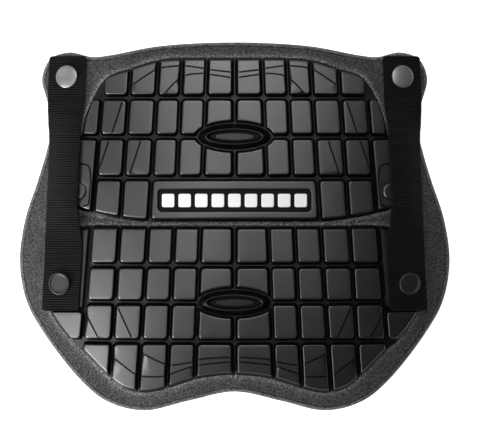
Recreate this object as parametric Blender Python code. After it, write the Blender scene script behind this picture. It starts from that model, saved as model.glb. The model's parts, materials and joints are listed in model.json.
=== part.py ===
"""Chest protector: a curved backing pad with two moulded plates, two webbing straps and four snaps.

It lies on its back, front face up. Metres, +Z up, +Y towards the collar, origin on the floor
under the middle of the part. Outlines and tables hold shares of the half width (u) and the half
height (v), so the part follows its overall sizes.
"""
import math

import bmesh
import bpy
from mathutils import Vector
from mathutils.geometry import delaunay_2d_cdt

# Overall sizes
WIDTH = 0.280
HEIGHT = 0.2386
DOME_WIDE_RADIUS = 0.320       # curve across the chest
REST_SINK = 0.0022             # how far the felt flattens where it touches the floor
SEAT_GAP = 0.00035             # clearance between pieces that touch

# Backing pad
PAD_THICKNESS = 0.0080
PAD_FRONT_ROUND = 0.0026
PAD_ROUND_SHARE = 0.3          # where the facet of the rounded edge lies
PAD_BACK_ROUND = 0.0012
PAD_REST_BAND = 0.0052         # how far in from the edge the flattened band reaches
PAD_GRID = 0.0145
LONG_STEP = 0.0120             # longest edge along the curve of the chest
OUTLINE_SLACK = 0.00010        # how far an outline may leave its curve

# Plates
FLOOR_HEIGHT = 0.0020          # groove floor over the plate's back
TILE_HEIGHT = 0.0064           # tile tops over the plate's back
LEDGE_HEIGHT = 0.0034          # wing under the lower end of a strap
CHANNEL_WIDTH = 0.0014         # flat floor between two tiles
WALL_WIDTH = 0.0016            # drafted wall of a tile, seen from the front
PLATE_RIM = 0.0004             # flat rim outside the outer walls
TILE_CORNER = 0.0012
TILE_SMALLEST = 0.0063         # a tile is left off when its plan area is under this squared
CURVE_STEP = 0.0022            # longest edge where a tile follows an oval
TILE_SLACK = 0.00003

# Oval bosses, half sizes
OVAL_CLEAR = (0.0305, 0.0107)  # where the tiles round it stop
OVAL_FOOT = (0.0219, 0.0071)
OVAL_CREST = (0.0184, 0.0048)
OVAL_WELL = (0.0155, 0.0029)
OVAL_CREST_HEIGHT = 0.0056
OVAL_WELL_HEIGHT = 0.0038
OVAL_SIDES = 28

# Recess of the bar tile and the plain bars in it
RECESS_SIDE = 0.0029           # from the end of the tile's top to the recess
RECESS_HALF_HEIGHT = 0.0074
RECESS_CORNER = 0.0030
RECESS_DEPTH = 0.0016
RECESS_DRAFT = 0.0007
BAR_COUNT = 9
BAR_MARGIN = (0.0022, 0.0024)  # from the recess floor's edge to the bars, across and up
BAR_SPACE = 0.0026
BAR_CORNER = 0.0014
BAR_HEIGHT = 0.0010

# Round knobs on the tall outer tiles
KNOB_RADIUS = 0.0058
KNOB_TOP_RADIUS = 0.0044
KNOB_RISE = 0.0008
KNOB_SIDES = 14

# Straps
STRAP_WIDTH = 0.0260
STRAP_THICKNESS = 0.0016
STRAP_CORNER = 0.0024
STRAP_STEP = 0.0065
STRAP_ACROSS = 4
STRAP_BOW = 0.30               # crown of a strap that runs over tiles, as a share of its rise

# Snaps
CAP_RADIUS = 0.0073
CAP_HEIGHT = 0.0020
POST_RADIUS = 0.0018
WASHER_RADIUS = 0.0062
WASHER_THICKNESS = 0.0010
WASHER_WELL_DEPTH = 0.0032     # the washer is pulled this deep into the back of the pad
WASHER_CLEARANCE = 0.0012      # room round the washer in its well
WELL_DRAFT = 0.0003
HOLE_RADIUS = 0.0036
SNAP_SIDES = 24
HOLE_SIDES = 16

HALF_WIDTH = WIDTH / 2
HALF_HEIGHT = HEIGHT / 2

# Half outlines from the collar to the hem: u, v
PAD_OUTLINE = (
    (0.000, 1.000), (0.350, 0.980), (0.580, 0.932), (0.660, 0.924), (0.770, 0.950),
    (0.857, 0.915), (0.896, 0.810), (0.868, 0.670), (0.850, 0.540), (0.872, 0.417),
    (0.914, 0.253), (0.975, 0.035), (1.000, -0.190), (0.970, -0.400), (0.896, -0.564),
    (0.714, -0.837), (0.590, -0.952), (0.420, -1.000), (0.210, -0.945), (0.000, -0.896),
)
UPPER_OUTLINE = (
    (0.000, 0.913), (0.230, 0.913), (0.346, 0.904), (0.481, 0.857), (0.592, 0.808),
    (0.647, 0.714), (0.690, 0.591), (0.708, 0.499), (0.732, 0.433), (0.764, 0.335),
    (0.783, 0.243), (0.783, 0.166), (0.760, 0.117), (0.718, 0.093), (0.625, 0.065),
    (0.453, 0.031), (0.350, 0.027), (0.000, 0.027),
)
LOWER_OUTLINE = (
    (0.000, 0.003), (0.420, 0.003), (0.690, 0.003), (0.725, -0.007), (0.783, -0.052),
    (0.834, -0.155), (0.868, -0.292), (0.871, -0.400), (0.852, -0.464), (0.767, -0.603),
    (0.698, -0.678), (0.592, -0.802), (0.513, -0.876), (0.411, -0.900), (0.311, -0.876),
    (0.185, -0.828), (0.080, -0.807), (0.000, -0.802),
)
EAR_REST = (0.886, 0.863)      # where an ear touches the floor
LOBE_REST = (0.998, -0.292)    # where a lobe touches the floor

# Middles of the upright grooves, as u at three heights; the first entry is the centre line
GROOVE_HEIGHTS = (0.896, -0.014, -0.646)
GROOVES = (
    (0.000, 0.000, 0.000),
    (0.129, 0.159, 0.180),
    (0.244, 0.280, 0.306),
    (0.354, 0.400, 0.437),
    (0.481, 0.534, 0.570),
    (0.604, 0.664, 0.711),
)
# Middles of the level grooves, as v
UPPER_ROWS = (0.701, 0.487, 0.264)
LOWER_ROWS = (-0.210, -0.411, -0.623)
LEDGE_END = -0.474             # v at which the ledge stops and the corner tile starts
RECESS_PLACE = 0.141           # v of the middle of the recess
KNOB_PLACE = (0.727, 0.193)
SNAP_PLACES = {"upper": (0.777, 0.815), "lower": (0.809, -0.310)}

# Turned outline of each cap from its seat to its middle: shares of its radius and height
CAP_PROFILES = {
    "upper": ((0.96, 0.0), (1.00, 0.3), (1.00, 0.5), (0.93, 0.82), (0.81, 0.93), (0.45, 1.0)),
    "lower": ((0.96, 0.0), (1.00, 0.3), (1.00, 0.5), (0.93, 0.90), (0.81, 0.90), (0.73, 0.62)),
}
CAP_SLOTS = {"upper": "silver", "lower": "gunmetal"}

# Strap sections: v, u of the outer edge, lift of the outer and inner edge as shares of the
# tile height, lift of both as a share of the ledge height
STRAP_SECTIONS = (
    (0.930, 0.862, 0.00, 0.00, 0.0),
    (0.720, 0.868, 0.00, 0.00, 0.0),
    (0.645, 0.868, 0.00, 0.20, 0.0),
    (0.570, 0.866, -0.18, 0.62, 0.0),
    (0.500, 0.862, -0.16, 0.92, 0.0),
    (0.440, 0.861, 0.00, 1.12, 0.0),
    (0.335, 0.864, 0.00, 1.22, 0.0),
    (0.117, 0.871, 0.00, 1.22, 0.0),
    (0.030, 0.875, 0.00, 0.85, 0.2),
    (-0.106, 0.880, 0.00, 0.00, 1.0),
    (-0.460, 0.894, 0.00, 0.00, 1.0),
)

# Finish of each slot: base colour, roughness, metallic
FINISHES = {
    "felt": ((0.080, 0.081, 0.084), 0.95, 0.0),
    "plate": ((0.012, 0.012, 0.013), 0.42, 0.0),
    "webbing": ((0.010, 0.010, 0.010), 0.85, 0.0),
    "inlay": ((0.800, 0.800, 0.790), 0.45, 0.0),
    "silver": ((0.620, 0.620, 0.620), 0.35, 1.0),
    "gunmetal": ((0.060, 0.060, 0.065), 0.40, 1.0),
}


def place(shares):
    """A point in metres from its shares u, v."""
    return (shares[0] * HALF_WIDTH, shares[1] * HALF_HEIGHT)


def dome_tall_radius():
    """The curve from collar to hem that lets ears and lobes touch the floor together."""
    ear, lobe = place(EAR_REST), place(LOBE_REST)
    return DOME_WIDE_RADIUS * (ear[1] ** 2 - lobe[1] ** 2) / (lobe[0] ** 2 - ear[0] ** 2)


DOME_TALL_RADIUS = dome_tall_radius()


def dome_drop(x, y):
    """How far the dome falls below its crown at a plan point."""
    return x * x / (2 * DOME_WIDE_RADIUS) + y * y / (2 * DOME_TALL_RADIUS)


CROWN = dome_drop(*place(LOBE_REST)) - REST_SINK


def back_rise(x, y):
    """Height of the pad's back."""
    return CROWN - dome_drop(x, y)


def front_rise(x, y):
    """Height of the pad's front."""
    return back_rise(x, y) + PAD_THICKNESS


def plate_rise(x, y):
    """Height of a plate's back, just clear of the felt."""
    return front_rise(x, y) + SEAT_GAP


def mirrored(points):
    """The other side's copy of a loop, wound the same way."""
    return [(-x, y) for x, y in reversed(points)]


def curve_span(before, start, end, after, steps):
    """Points of a centripetal Catmull-Rom span, from its start up to its end."""
    control = [Vector(point) for point in (before, start, end, after)]
    knots = [0.0]
    for a, b in zip(control, control[1:]):
        knots.append(knots[-1] + math.sqrt(max((b - a).length, 1e-9)))
    span = []
    for step in range(steps):
        at = knots[1] + (knots[2] - knots[1]) * step / steps

        def blend(a, b, low, high):
            return a.lerp(b, (at - knots[low]) / (knots[high] - knots[low]))

        first = [blend(control[i], control[i + 1], i, i + 1) for i in range(3)]
        second = [blend(first[i], first[i + 1], i, i + 2) for i in range(2)]
        spot = blend(second[0], second[1], 1, 2)
        span.append((spot.x, spot.y))
    return span


def smooth_outline(half, steps=3, slack=OUTLINE_SLACK, longest=LONG_STEP):
    """The closed outline through a half outline and its mirror image, in metres."""
    right = [place(shares) for shares in half]
    control = right + mirrored(right)[1:-1]
    count = len(control)
    loop = []
    for i in range(count):
        around = [control[(i + k) % count] for k in (-1, 0, 1, 2)]
        loop += curve_span(*around, steps)
    return thinned(loop, slack, longest)


def thinned(loop, slack, longest=1.0):
    """The loop without the points that lie within slack of their neighbours' chord."""
    kept = list(loop)
    index = 0
    while index < len(kept) and len(kept) > 3:
        before = Vector(kept[index - 1])
        here = Vector(kept[index])
        after = Vector(kept[(index + 1) % len(kept)])
        chord = after - before
        off = abs(chord.cross(here - before)) / max(chord.length, 1e-9)
        if (here - before).length < 1e-5 or (off < slack and chord.length < longest):
            kept.pop(index)
        else:
            index += 1
    return kept


def plan_area(loop):
    """Signed plan area of a loop, positive when it runs counter-clockwise."""
    pairs = zip(loop, loop[1:] + loop[:1])
    return sum(a[0] * b[1] - b[0] * a[1] for a, b in pairs) / 2


def inset(loop, distance):
    """The loop moved inward by a distance."""
    turn = 1.0 if plan_area(loop) > 0 else -1.0
    moved = []
    for i, point in enumerate(loop):
        here = Vector(point)
        along_in = (here - Vector(loop[i - 1])).normalized()
        along_out = (Vector(loop[(i + 1) % len(loop)]) - here).normalized()
        normal = (along_in + along_out).normalized().orthogonal() * turn
        stretch = max(0.5, normal.dot(along_in.orthogonal() * turn))
        spot = here + normal * distance / stretch
        moved.append((spot.x, spot.y))
    return moved


def clipped(loop, side, margin):
    """The part of a loop that lies at least margin inside one side (point, inward normal)."""
    point, normal = Vector(side[0]), Vector(side[1]).normalized()
    depth = [(Vector(p) - point).dot(normal) - margin for p in loop]
    kept = []
    for i, here in enumerate(loop):
        before, depth_before, depth_here = loop[i - 1], depth[i - 1], depth[i]
        if (depth_before >= 0) != (depth_here >= 0):
            crossing = Vector(before).lerp(Vector(here), depth_before / (depth_before - depth_here))
            kept.append((crossing.x, crossing.y))
        if depth_here >= 0:
            kept.append(here)
    return kept


def rounded(loop, radius, steps=1, sharpest=0.45):
    """The loop with each sharp corner cut by an arc."""
    turned = []
    for i, point in enumerate(loop):
        here = Vector(point)
        back = Vector(loop[i - 1]) - here
        ahead = Vector(loop[(i + 1) % len(loop)]) - here
        turn = math.pi - back.angle(ahead, math.pi)
        if turn < sharpest:
            turned.append(point)
            continue
        reach = min(radius * math.tan(turn / 2), 0.4 * back.length, 0.4 * ahead.length)
        start, end = here + back.normalized() * reach, here + ahead.normalized() * reach
        for step in range(steps + 1):
            share = step / steps
            spot = start.lerp(here, share).lerp(here.lerp(end, share), share)
            turned.append((spot.x, spot.y))
    return turned


def divided(loop, longest):
    """The loop with no edge longer than a length."""
    parts = []
    for here, after in zip(loop, loop[1:] + loop[:1]):
        count = max(1, math.ceil(math.dist(here, after) / longest))
        for step in range(count):
            share = step / count
            spot = Vector(here).lerp(Vector(after), share)
            parts.append((spot.x, spot.y))
    return parts


def oval(middle, half, sides):
    """A closed ellipse."""
    turns = [2 * math.pi * k / sides for k in range(sides)]
    return [(middle[0] + half[0] * math.cos(a), middle[1] + half[1] * math.sin(a)) for a in turns]


def box_loop(middle, half, corner, steps=2):
    """A closed rectangle with rounded corners."""
    corners = [(1, 1), (-1, 1), (-1, -1), (1, -1)]
    loop = [(middle[0] + half[0] * i, middle[1] + half[1] * j) for i, j in corners]
    return rounded(loop, corner, steps)


def cleared(loop, middle_y, half, upward):
    """The loop pushed out of an ellipse, up or down, where the ellipse reaches into it."""
    pushed = []
    for x, y in divided(loop, CURVE_STEP):
        across = 1 - (x / half[0]) ** 2
        limit = half[1] * math.sqrt(max(across, 0.0))
        reach = (y - middle_y) * upward
        pushed.append((x, middle_y + limit * upward) if reach < limit and across > 0 else (x, y))
    return thinned(pushed, OUTLINE_SLACK)


def inside(point, loop):
    """Whether a plan point lies inside a loop."""
    x, y = point
    within = False
    for (ax, ay), (bx, by) in zip(loop, loop[1:] + loop[:1]):
        if (ay > y) != (by > y) and x < ax + (bx - ax) * (y - ay) / (by - ay):
            within = not within
    return within


def clearance(point, loops):
    """Plan distance from a point to the nearest edge of some loops."""
    here = Vector(point)
    nearest = 1.0
    for loop in loops:
        for a, b in zip(loop, loop[1:] + loop[:1]):
            start, run = Vector(a), Vector(b) - Vector(a)
            share = max(0.0, min(1.0, (here - start).dot(run) / max(run.length_squared, 1e-12)))
            nearest = min(nearest, (here - start - run * share).length)
    return nearest


class Side:
    """One face of a sheet: its surface, its level at the outline and holes, and its rings."""

    def __init__(self, rise, edge=0.0, hole=0.0, rings=(), grid=0.0, spots=(), lowest=-1.0):
        self.rise = rise
        self.edge = edge
        self.hole = hole
        self.rings = list(rings)
        self.grid = grid
        self.spots = list(spots)
        self.lowest = lowest

    def grid_spots(self, outline, holes):
        """Inner points on a staggered grid, clear of every loop."""
        if not self.grid:
            return list(self.spots)
        loops = [outline] + list(holes) + [ring for ring, _ in self.rings]
        xs, ys = [p[0] for p in outline], [p[1] for p in outline]
        spots = list(self.spots)
        row = 0
        y = min(ys)
        while y < max(ys):
            x = min(xs) + (row % 2) * self.grid / 2
            while x < max(xs):
                if inside((x, y), outline) and clearance((x, y), loops) > 0.45 * self.grid:
                    spots.append((x, y))
                x += self.grid
            y += self.grid * math.sqrt(0.75)
            row += 1
        return spots

    def mesh(self, outline, holes):
        """Vertices, triangles and the place of each outline and hole point among the vertices."""
        loops = [(outline, self.edge)] + [(hole, self.hole) for hole in holes] + self.rings
        points, levels, edges = [], [], []
        for loop, level in loops:
            start = len(points)
            points += loop
            levels += [level] * len(loop)
            edges += [(start + i, start + (i + 1) % len(loop)) for i in range(len(loop))]
        for spot in self.grid_spots(outline, holes):
            points.append(spot)
            levels.append(None)
        found = delaunay_2d_cdt([Vector(p) for p in points], edges, [], 0, 1e-7)
        spots, triangles, sources = found[0], found[2], found[3]
        used, vertices = {}, []
        for index, source in enumerate(sources):
            named = [levels[i] for i in source if levels[i] is not None]
            level = named[0] if named else self.level_at(spots[index], holes)
            z = max(self.rise(*spots[index]) + level, self.lowest)
            vertices.append((spots[index].x, spots[index].y, z))
            used.update({i: index for i in source})
        kept = []
        for triangle in triangles:
            middle = sum((spots[i] for i in triangle), Vector((0, 0))) / 3
            if inside(middle, outline) and not any(inside(middle, hole) for hole in holes):
                kept.append(tuple(triangle))
        return vertices, kept, used

    def level_at(self, spot, holes):
        """Level of a grid point: that of the smallest ring around it."""
        around = [(abs(plan_area(ring)), level) for ring, level in self.rings if inside(spot, ring)]
        return min(around)[1] if around else self.edge


def material(slot):
    """The slot's material."""
    known = bpy.data.materials.get(slot)
    if known:
        return known
    colour, roughness, metallic = FINISHES[slot]
    made = bpy.data.materials.new(slot)
    made.use_nodes = True
    shader = made.node_tree.nodes["Principled BSDF"]
    shader.inputs["Base Color"].default_value = (*colour, 1.0)
    shader.inputs["Roughness"].default_value = roughness
    shader.inputs["Metallic"].default_value = metallic
    return made


def add_object(name, slot, vertices, faces):
    """One closed body as an object of its own."""
    mesh = bpy.data.meshes.new(name)
    mesh.from_pydata(vertices, [], faces)
    shape = bmesh.new()
    shape.from_mesh(mesh)
    loose = [vertex for vertex in shape.verts if not vertex.link_faces]
    bmesh.ops.delete(shape, geom=loose, context="VERTS")
    bmesh.ops.recalc_face_normals(shape, faces=shape.faces)
    shape.to_mesh(mesh)
    shape.free()
    mesh.materials.append(material(slot))
    made = bpy.data.objects.new(name, mesh)
    bpy.context.collection.objects.link(made)
    return made


def sheet_body(name, slot, outline, front, back, holes=()):
    """A closed body between two faces over the same plan outline, with holes right through."""
    front_points, front_faces, front_used = front.mesh(outline, holes)
    back_points, back_faces, back_used = back.mesh(outline, holes)
    shift = len(front_points)
    faces = front_faces + [tuple(shift + i for i in face) for face in back_faces]
    start = 0
    for loop in [outline] + list(holes):
        count = len(loop)
        for i in range(count):
            a, b = start + i, start + (i + 1) % count
            faces.append((front_used[a], front_used[b], shift + back_used[b]))
            faces.append((front_used[a], shift + back_used[b], shift + back_used[a]))
        start += count
    return add_object(name, slot, front_points + back_points, faces)


def groove_at(index, y):
    """x of the middle of an upright groove at a height on the plate."""
    stations = [v * HALF_HEIGHT for v in GROOVE_HEIGHTS]
    shares = GROOVES[index]
    pair = 0 if y > stations[1] else 1
    part = (y - stations[pair]) / (stations[pair + 1] - stations[pair])
    return (shares[pair] + (shares[pair + 1] - shares[pair]) * part) * HALF_WIDTH


def groove_side(index, top, bottom, outward):
    """The side that an upright groove gives a tile, outward when the tile lies past it."""
    start, end = (groove_at(index, top), top), (groove_at(index, bottom), bottom)
    run = Vector(start) - Vector(end)
    return start, (run.y * outward, -run.x * outward)


def level_side(v, upward):
    """The side that a level groove gives a tile, upward when the tile lies above it."""
    return (0.0, v * HALF_HEIGHT), (0.0, upward)


class Tile:
    """A raised tile between its neighbouring grooves, on the right half of a plate."""

    def __init__(self, inner, outer, above=None, below=None, oval_at=None, height=TILE_HEIGHT):
        self.sides = []
        top = (above if above is not None else GROOVE_HEIGHTS[0]) * HALF_HEIGHT
        bottom = (below if below is not None else GROOVE_HEIGHTS[2]) * HALF_HEIGHT
        if inner is not None:
            self.sides.append(groove_side(inner, top, bottom, 1.0))
        if outer is not None:
            self.sides.append(groove_side(outer, top, bottom, -1.0))
        if above is not None:
            self.sides.append(level_side(above, -1.0))
        if below is not None:
            self.sides.append(level_side(below, 1.0))
        self.oval_at = oval_at
        self.upward = 1.0 if oval_at is not None and above != oval_at else -1.0
        self.height = height

    def loop(self, outline, draft):
        """The tile's plan loop, at the foot of its wall for a draft of 0, or on its top."""
        loop = inset(outline, PLATE_RIM + draft)
        for side in self.sides:
            loop = clipped(loop, side, CHANNEL_WIDTH / 2 + draft)
        if self.oval_at is not None:
            half = [size - WALL_WIDTH + draft for size in OVAL_CLEAR]
            loop = cleared(loop, self.oval_at * HALF_HEIGHT, half, self.upward)
        return rounded(thinned(loop, TILE_SLACK), TILE_CORNER)

    def rings(self, outline):
        """The tile's foot and top rings, or none where the plate leaves it no room."""
        foot, top = self.loop(outline, 0.0), self.loop(outline, WALL_WIDTH)
        if len(top) < 3 or abs(plan_area(top)) < TILE_SMALLEST ** 2:
            return []
        return [(foot, FLOOR_HEIGHT), (top, self.height)]


def both_sides(rings):
    """Rings and their mirror images."""
    return rings + [(mirrored(loop), level) for loop, level in rings]


def upper_tiles():
    """Tiles of the right half of the upper plate."""
    bounds = (None,) + UPPER_ROWS + (None,)
    tiles = []
    for row in range(4):
        columns = range(3, 5) if row == 3 else range(5)
        for column in columns:
            by_oval = UPPER_ROWS[1] if row in (1, 2) and column < 2 else None
            tiles.append(Tile(column, column + 1, bounds[row], bounds[row + 1], by_oval))
    tiles.append(Tile(5, None, bounds[1], bounds[2]))
    tiles.append(Tile(5, None, bounds[2], None))
    return tiles


def lower_tiles():
    """Tiles of the right half of the lower plate, with the ledge for the strap."""
    bounds = (None,) + LOWER_ROWS + (None,)
    tiles = []
    for row in range(4):
        for column in range(5):
            by_oval = LOWER_ROWS[1] if row in (1, 2) and column < 2 else None
            tiles.append(Tile(column, column + 1, bounds[row], bounds[row + 1], by_oval))
    tiles.append(Tile(5, None, None, LEDGE_END, height=LEDGE_HEIGHT))
    tiles.append(Tile(5, None, LEDGE_END, bounds[3]))
    return tiles


def oval_rings(v):
    """Foot, crest and well of an oval boss."""
    middle = (0.0, v * HALF_HEIGHT)
    forms = (
        (OVAL_FOOT, FLOOR_HEIGHT),
        (OVAL_CREST, OVAL_CREST_HEIGHT),
        (OVAL_WELL, OVAL_WELL_HEIGHT),
    )
    return [(oval(middle, half, OVAL_SIDES), level) for half, level in forms]


def bar_tile_rings(outline):
    """The wide tile in the bottom row of the upper plate, with its recess."""
    top, bottom = UPPER_ROWS[2] * HALF_HEIGHT, UPPER_OUTLINE[-1][1] * HALF_HEIGHT
    rings = []
    for draft, level in ((0.0, FLOOR_HEIGHT), (WALL_WIDTH, TILE_HEIGHT)):
        loop = inset(outline, PLATE_RIM + draft)
        point, normal = groove_side(3, top, bottom, -1.0)
        left = (-point[0], point[1]), (-normal[0], normal[1])
        for side in ((point, normal), left, level_side(UPPER_ROWS[2], -1.0)):
            loop = clipped(loop, side, CHANNEL_WIDTH / 2 + draft)
        rings.append((divided(rounded(thinned(loop, TILE_SLACK), TILE_CORNER), LONG_STEP), level))
    middle = (0.0, RECESS_PLACE * HALF_HEIGHT)
    for draft, level in ((0.0, TILE_HEIGHT), (RECESS_DRAFT, TILE_HEIGHT - RECESS_DEPTH)):
        rings.append((divided(box_loop(middle, recess_half(draft), RECESS_CORNER), LONG_STEP), level))
    return rings


def recess_half(draft):
    """Half sizes of the recess at its mouth for a draft of 0, or on its floor."""
    tile_end = groove_at(3, RECESS_PLACE * HALF_HEIGHT) - CHANNEL_WIDTH / 2 - WALL_WIDTH
    return (tile_end - RECESS_SIDE - draft, RECESS_HALF_HEIGHT - draft)


def knob_rings():
    """The round knob on the tall outer tile."""
    middle = place(KNOB_PLACE)
    forms = ((KNOB_RADIUS, TILE_HEIGHT), (KNOB_TOP_RADIUS, TILE_HEIGHT + KNOB_RISE))
    return [(oval(middle, (radius, radius), KNOB_SIDES), level) for radius, level in forms]


def strap_row(y):
    """Outer edge, lifts of both edges over the felt and the crown of a strap at a height."""
    rows = [(v * HALF_HEIGHT, *rest) for v, *rest in STRAP_SECTIONS]
    pair = 0
    while pair < len(rows) - 2 and y < rows[pair + 1][0]:
        pair += 1
    start, end = rows[pair], rows[pair + 1]
    part = max(0.0, min(1.0, (y - start[0]) / (end[0] - start[0])))
    part = part * part * (3 - 2 * part)
    edge, outer, inner, ledge = (a + (b - a) * part for a, b in zip(start[1:], end[1:]))
    tile_top = SEAT_GAP + TILE_HEIGHT
    base = SEAT_GAP + ledge * (SEAT_GAP + LEDGE_HEIGHT)
    bow = STRAP_BOW * max(0.0, inner - outer) * tile_top
    return edge * HALF_WIDTH, base + outer * tile_top, base + inner * tile_top, bow


def strap_lift(row, across):
    """Lift over the felt at a share of the way from the outer to the inner edge."""
    _, outer, inner, bow = row
    return outer + (inner - outer) * across + bow * 4 * across * (1 - across)


def strap_span(y, row):
    """Plan width of a strap at a height, so that its width along the curve is the real one."""
    span = STRAP_WIDTH
    steps = 8
    for _ in range(12):
        track = []
        for k in range(steps + 1):
            x = row[0] - span * k / steps
            track.append((x, front_rise(x, y) + strap_lift(row, k / steps)))
        length = sum(math.dist(a, b) for a, b in zip(track, track[1:]))
        span *= STRAP_WIDTH / length
    return span


def strap_rise(x, y):
    """Height of the back of the right strap."""
    row = strap_row(y)
    across = max(-0.2, min(1.2, (row[0] - abs(x)) / strap_span(y, row)))
    return front_rise(x, y) + strap_lift(row, across)


def strap_track(side):
    """Plan outline of a strap and points across it."""
    top, bottom = (STRAP_SECTIONS[k][0] * HALF_HEIGHT for k in (0, -1))
    count = round((top - bottom) / STRAP_STEP)
    outer, inner, spots = [], [], []
    for k in range(count + 1):
        y = top + (bottom - top) * k / count
        row = strap_row(y)
        span = strap_span(y, row)
        outer.append((row[0], y))
        inner.append((row[0] - span, y))
        if 0 < k < count:
            spots += [(side * (row[0] - span * j / STRAP_ACROSS), y) for j in range(1, STRAP_ACROSS)]
    loop = rounded([(side * x, y) for x, y in outer + inner[::-1]], STRAP_CORNER, 2, 1.0)
    return loop, spots


class Snap:
    """One snap: its axis through the strap, the plate or felt, and the pad."""

    def __init__(self, level, side):
        u, v = SNAP_PLACES[level]
        x, y = side * u * HALF_WIDTH, v * HALF_HEIGHT
        self.name = f"{level}_{'left' if side < 0 else 'right'}"
        self.seat = Vector((x, y, strap_rise(x, y) + STRAP_THICKNESS))
        reach = CAP_RADIUS * 0.6
        slope_x = (strap_rise(x + reach, y) - strap_rise(x - reach, y)) / (2 * reach)
        slope_y = (strap_rise(x, y + reach) - strap_rise(x, y - reach)) / (2 * reach)
        self.axis = Vector((-slope_x, -slope_y, 1.0)).normalized()

    def at_height(self, z):
        """Plan point where the axis passes a height."""
        spot = self.seat - self.axis * (self.seat.z - z) / self.axis.z
        return (spot.x, spot.y)

    def hole(self, rise, radius=HOLE_RADIUS):
        """A round hole about the axis at the height of a surface."""
        middle = (self.seat.x, self.seat.y)
        for _ in range(4):
            middle = self.at_height(rise(*middle))
        return oval(middle, (radius, radius), HOLE_SIDES)

    def turned(self, name, slot, profile, sides):
        """A turned piece about the axis: rows of radius and height over the strap's front."""
        helper = Vector((0.0, 1.0, 0.0))
        first = helper.cross(self.axis).normalized()
        second = self.axis.cross(first)
        vertices, faces = [], []
        for radius, height in profile:
            for k in range(sides):
                angle = 2 * math.pi * k / sides
                out = first * math.cos(angle) + second * math.sin(angle)
                vertices.append(tuple(self.seat + self.axis * height + out * radius))
        rows = len(profile)
        for i in range(rows - 1):
            for k in range(sides):
                a, b = i * sides + k, i * sides + (k + 1) % sides
                faces.append((a, b, b + sides, a + sides))
        faces.append(tuple(range(sides)))
        faces.append(tuple(range((rows - 1) * sides, rows * sides)))
        return add_object(name, slot, vertices, faces)

    def cap(self):
        """The visible cap: domed silver at the ears, rimmed and dark on the wings."""
        level = self.name.split("_")[0]
        profile = [(r * CAP_RADIUS, SEAT_GAP + h * CAP_HEIGHT) for r, h in CAP_PROFILES[level]]
        return self.turned("snap_cap_" + self.name, CAP_SLOTS[level], profile, SNAP_SIDES)

    def post(self):
        """The plain hidden post with the washer that holds it in the back of the pad."""
        low = -self.well_depth() - SEAT_GAP
        foot = low - WASHER_THICKNESS
        profile = ((POST_RADIUS, 0.0), (POST_RADIUS, low), (WASHER_RADIUS, low), (WASHER_RADIUS, foot))
        return self.turned("snap_post_" + self.name, "gunmetal", profile, HOLE_SIDES)

    def well_depth(self):
        """Distance along the axis from the strap's front to the floor of the washer's well."""
        depth = 0.0
        for _ in range(20):
            spot = self.seat - self.axis * depth
            depth += (spot.z - back_rise(spot.x, spot.y) - WASHER_WELL_DEPTH) * self.axis.z
        return depth


def make_pad(snaps):
    """The felt-faced backing pad, hollow behind, with holes and wells for the snaps."""
    outline = smooth_outline(PAD_OUTLINE)
    holes = [snap.hole(lambda x, y: back_rise(x, y) + 0.7 * PAD_THICKNESS) for snap in snaps]
    round_in = PAD_FRONT_ROUND
    front_rings = [
        (inset(outline, PAD_ROUND_SHARE * round_in), -PAD_ROUND_SHARE * round_in),
        (inset(outline, round_in), 0.0),
    ]
    back_rings = [
        (inset(outline, PAD_BACK_ROUND), 0.0),
        (inset(outline, PAD_REST_BAND), 0.0),
    ]
    for snap in snaps:
        well_radius = WASHER_RADIUS + WASHER_CLEARANCE
        well = snap.hole(lambda x, y: back_rise(x, y) + WASHER_WELL_DEPTH / 2, well_radius)
        back_rings.append((well, 0.0))
        back_rings.append((inset(well, WELL_DRAFT), WASHER_WELL_DEPTH))
    front = Side(front_rise, -round_in, 0.0, front_rings, PAD_GRID)
    back = Side(back_rise, PAD_BACK_ROUND, WASHER_WELL_DEPTH, back_rings, PAD_GRID, lowest=0.0)
    return sheet_body("foam_backing", "felt", outline, front, back, holes)


def make_upper_plate():
    """The upper moulded plate."""
    outline = smooth_outline(UPPER_OUTLINE)
    rings = []
    for tile in upper_tiles():
        rings += both_sides(tile.rings(outline))
    rings += both_sides(knob_rings())
    rings += bar_tile_rings(outline)
    rings += oval_rings(UPPER_ROWS[1])
    front = Side(plate_rise, FLOOR_HEIGHT, FLOOR_HEIGHT, rings)
    back = Side(plate_rise, grid=PAD_GRID)
    return sheet_body("upper_plate", "plate", outline, front, back)


def make_lower_plate(snaps):
    """The lower moulded plate, with the wings that the lower snaps pass through."""
    outline = smooth_outline(LOWER_OUTLINE)
    holes = [snap.hole(lambda x, y: plate_rise(x, y) + LEDGE_HEIGHT / 2) for snap in snaps]
    rings = []
    for tile in lower_tiles():
        rings += both_sides(tile.rings(outline))
    rings += oval_rings(LOWER_ROWS[1])
    front = Side(plate_rise, FLOOR_HEIGHT, LEDGE_HEIGHT, rings)
    back = Side(plate_rise, grid=PAD_GRID)
    return sheet_body("lower_plate", "plate", outline, front, back, holes)


def make_bars():
    """The row of plain bars in the recess."""
    floor = recess_half(RECESS_DRAFT)
    row_half, bar_half_height = (size - margin for size, margin in zip(floor, BAR_MARGIN))
    pitch = (2 * row_half + BAR_SPACE) / BAR_COUNT
    low = TILE_HEIGHT - RECESS_DEPTH + SEAT_GAP
    for k in range(BAR_COUNT):
        middle = ((k - (BAR_COUNT - 1) / 2) * pitch, RECESS_PLACE * HALF_HEIGHT)
        outline = box_loop(middle, ((pitch - BAR_SPACE) / 2, bar_half_height), BAR_CORNER)
        front = Side(plate_rise, low + BAR_HEIGHT)
        sheet_body(f"badge_bar_{k + 1}", "inlay", outline, front, Side(plate_rise, low))


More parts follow.
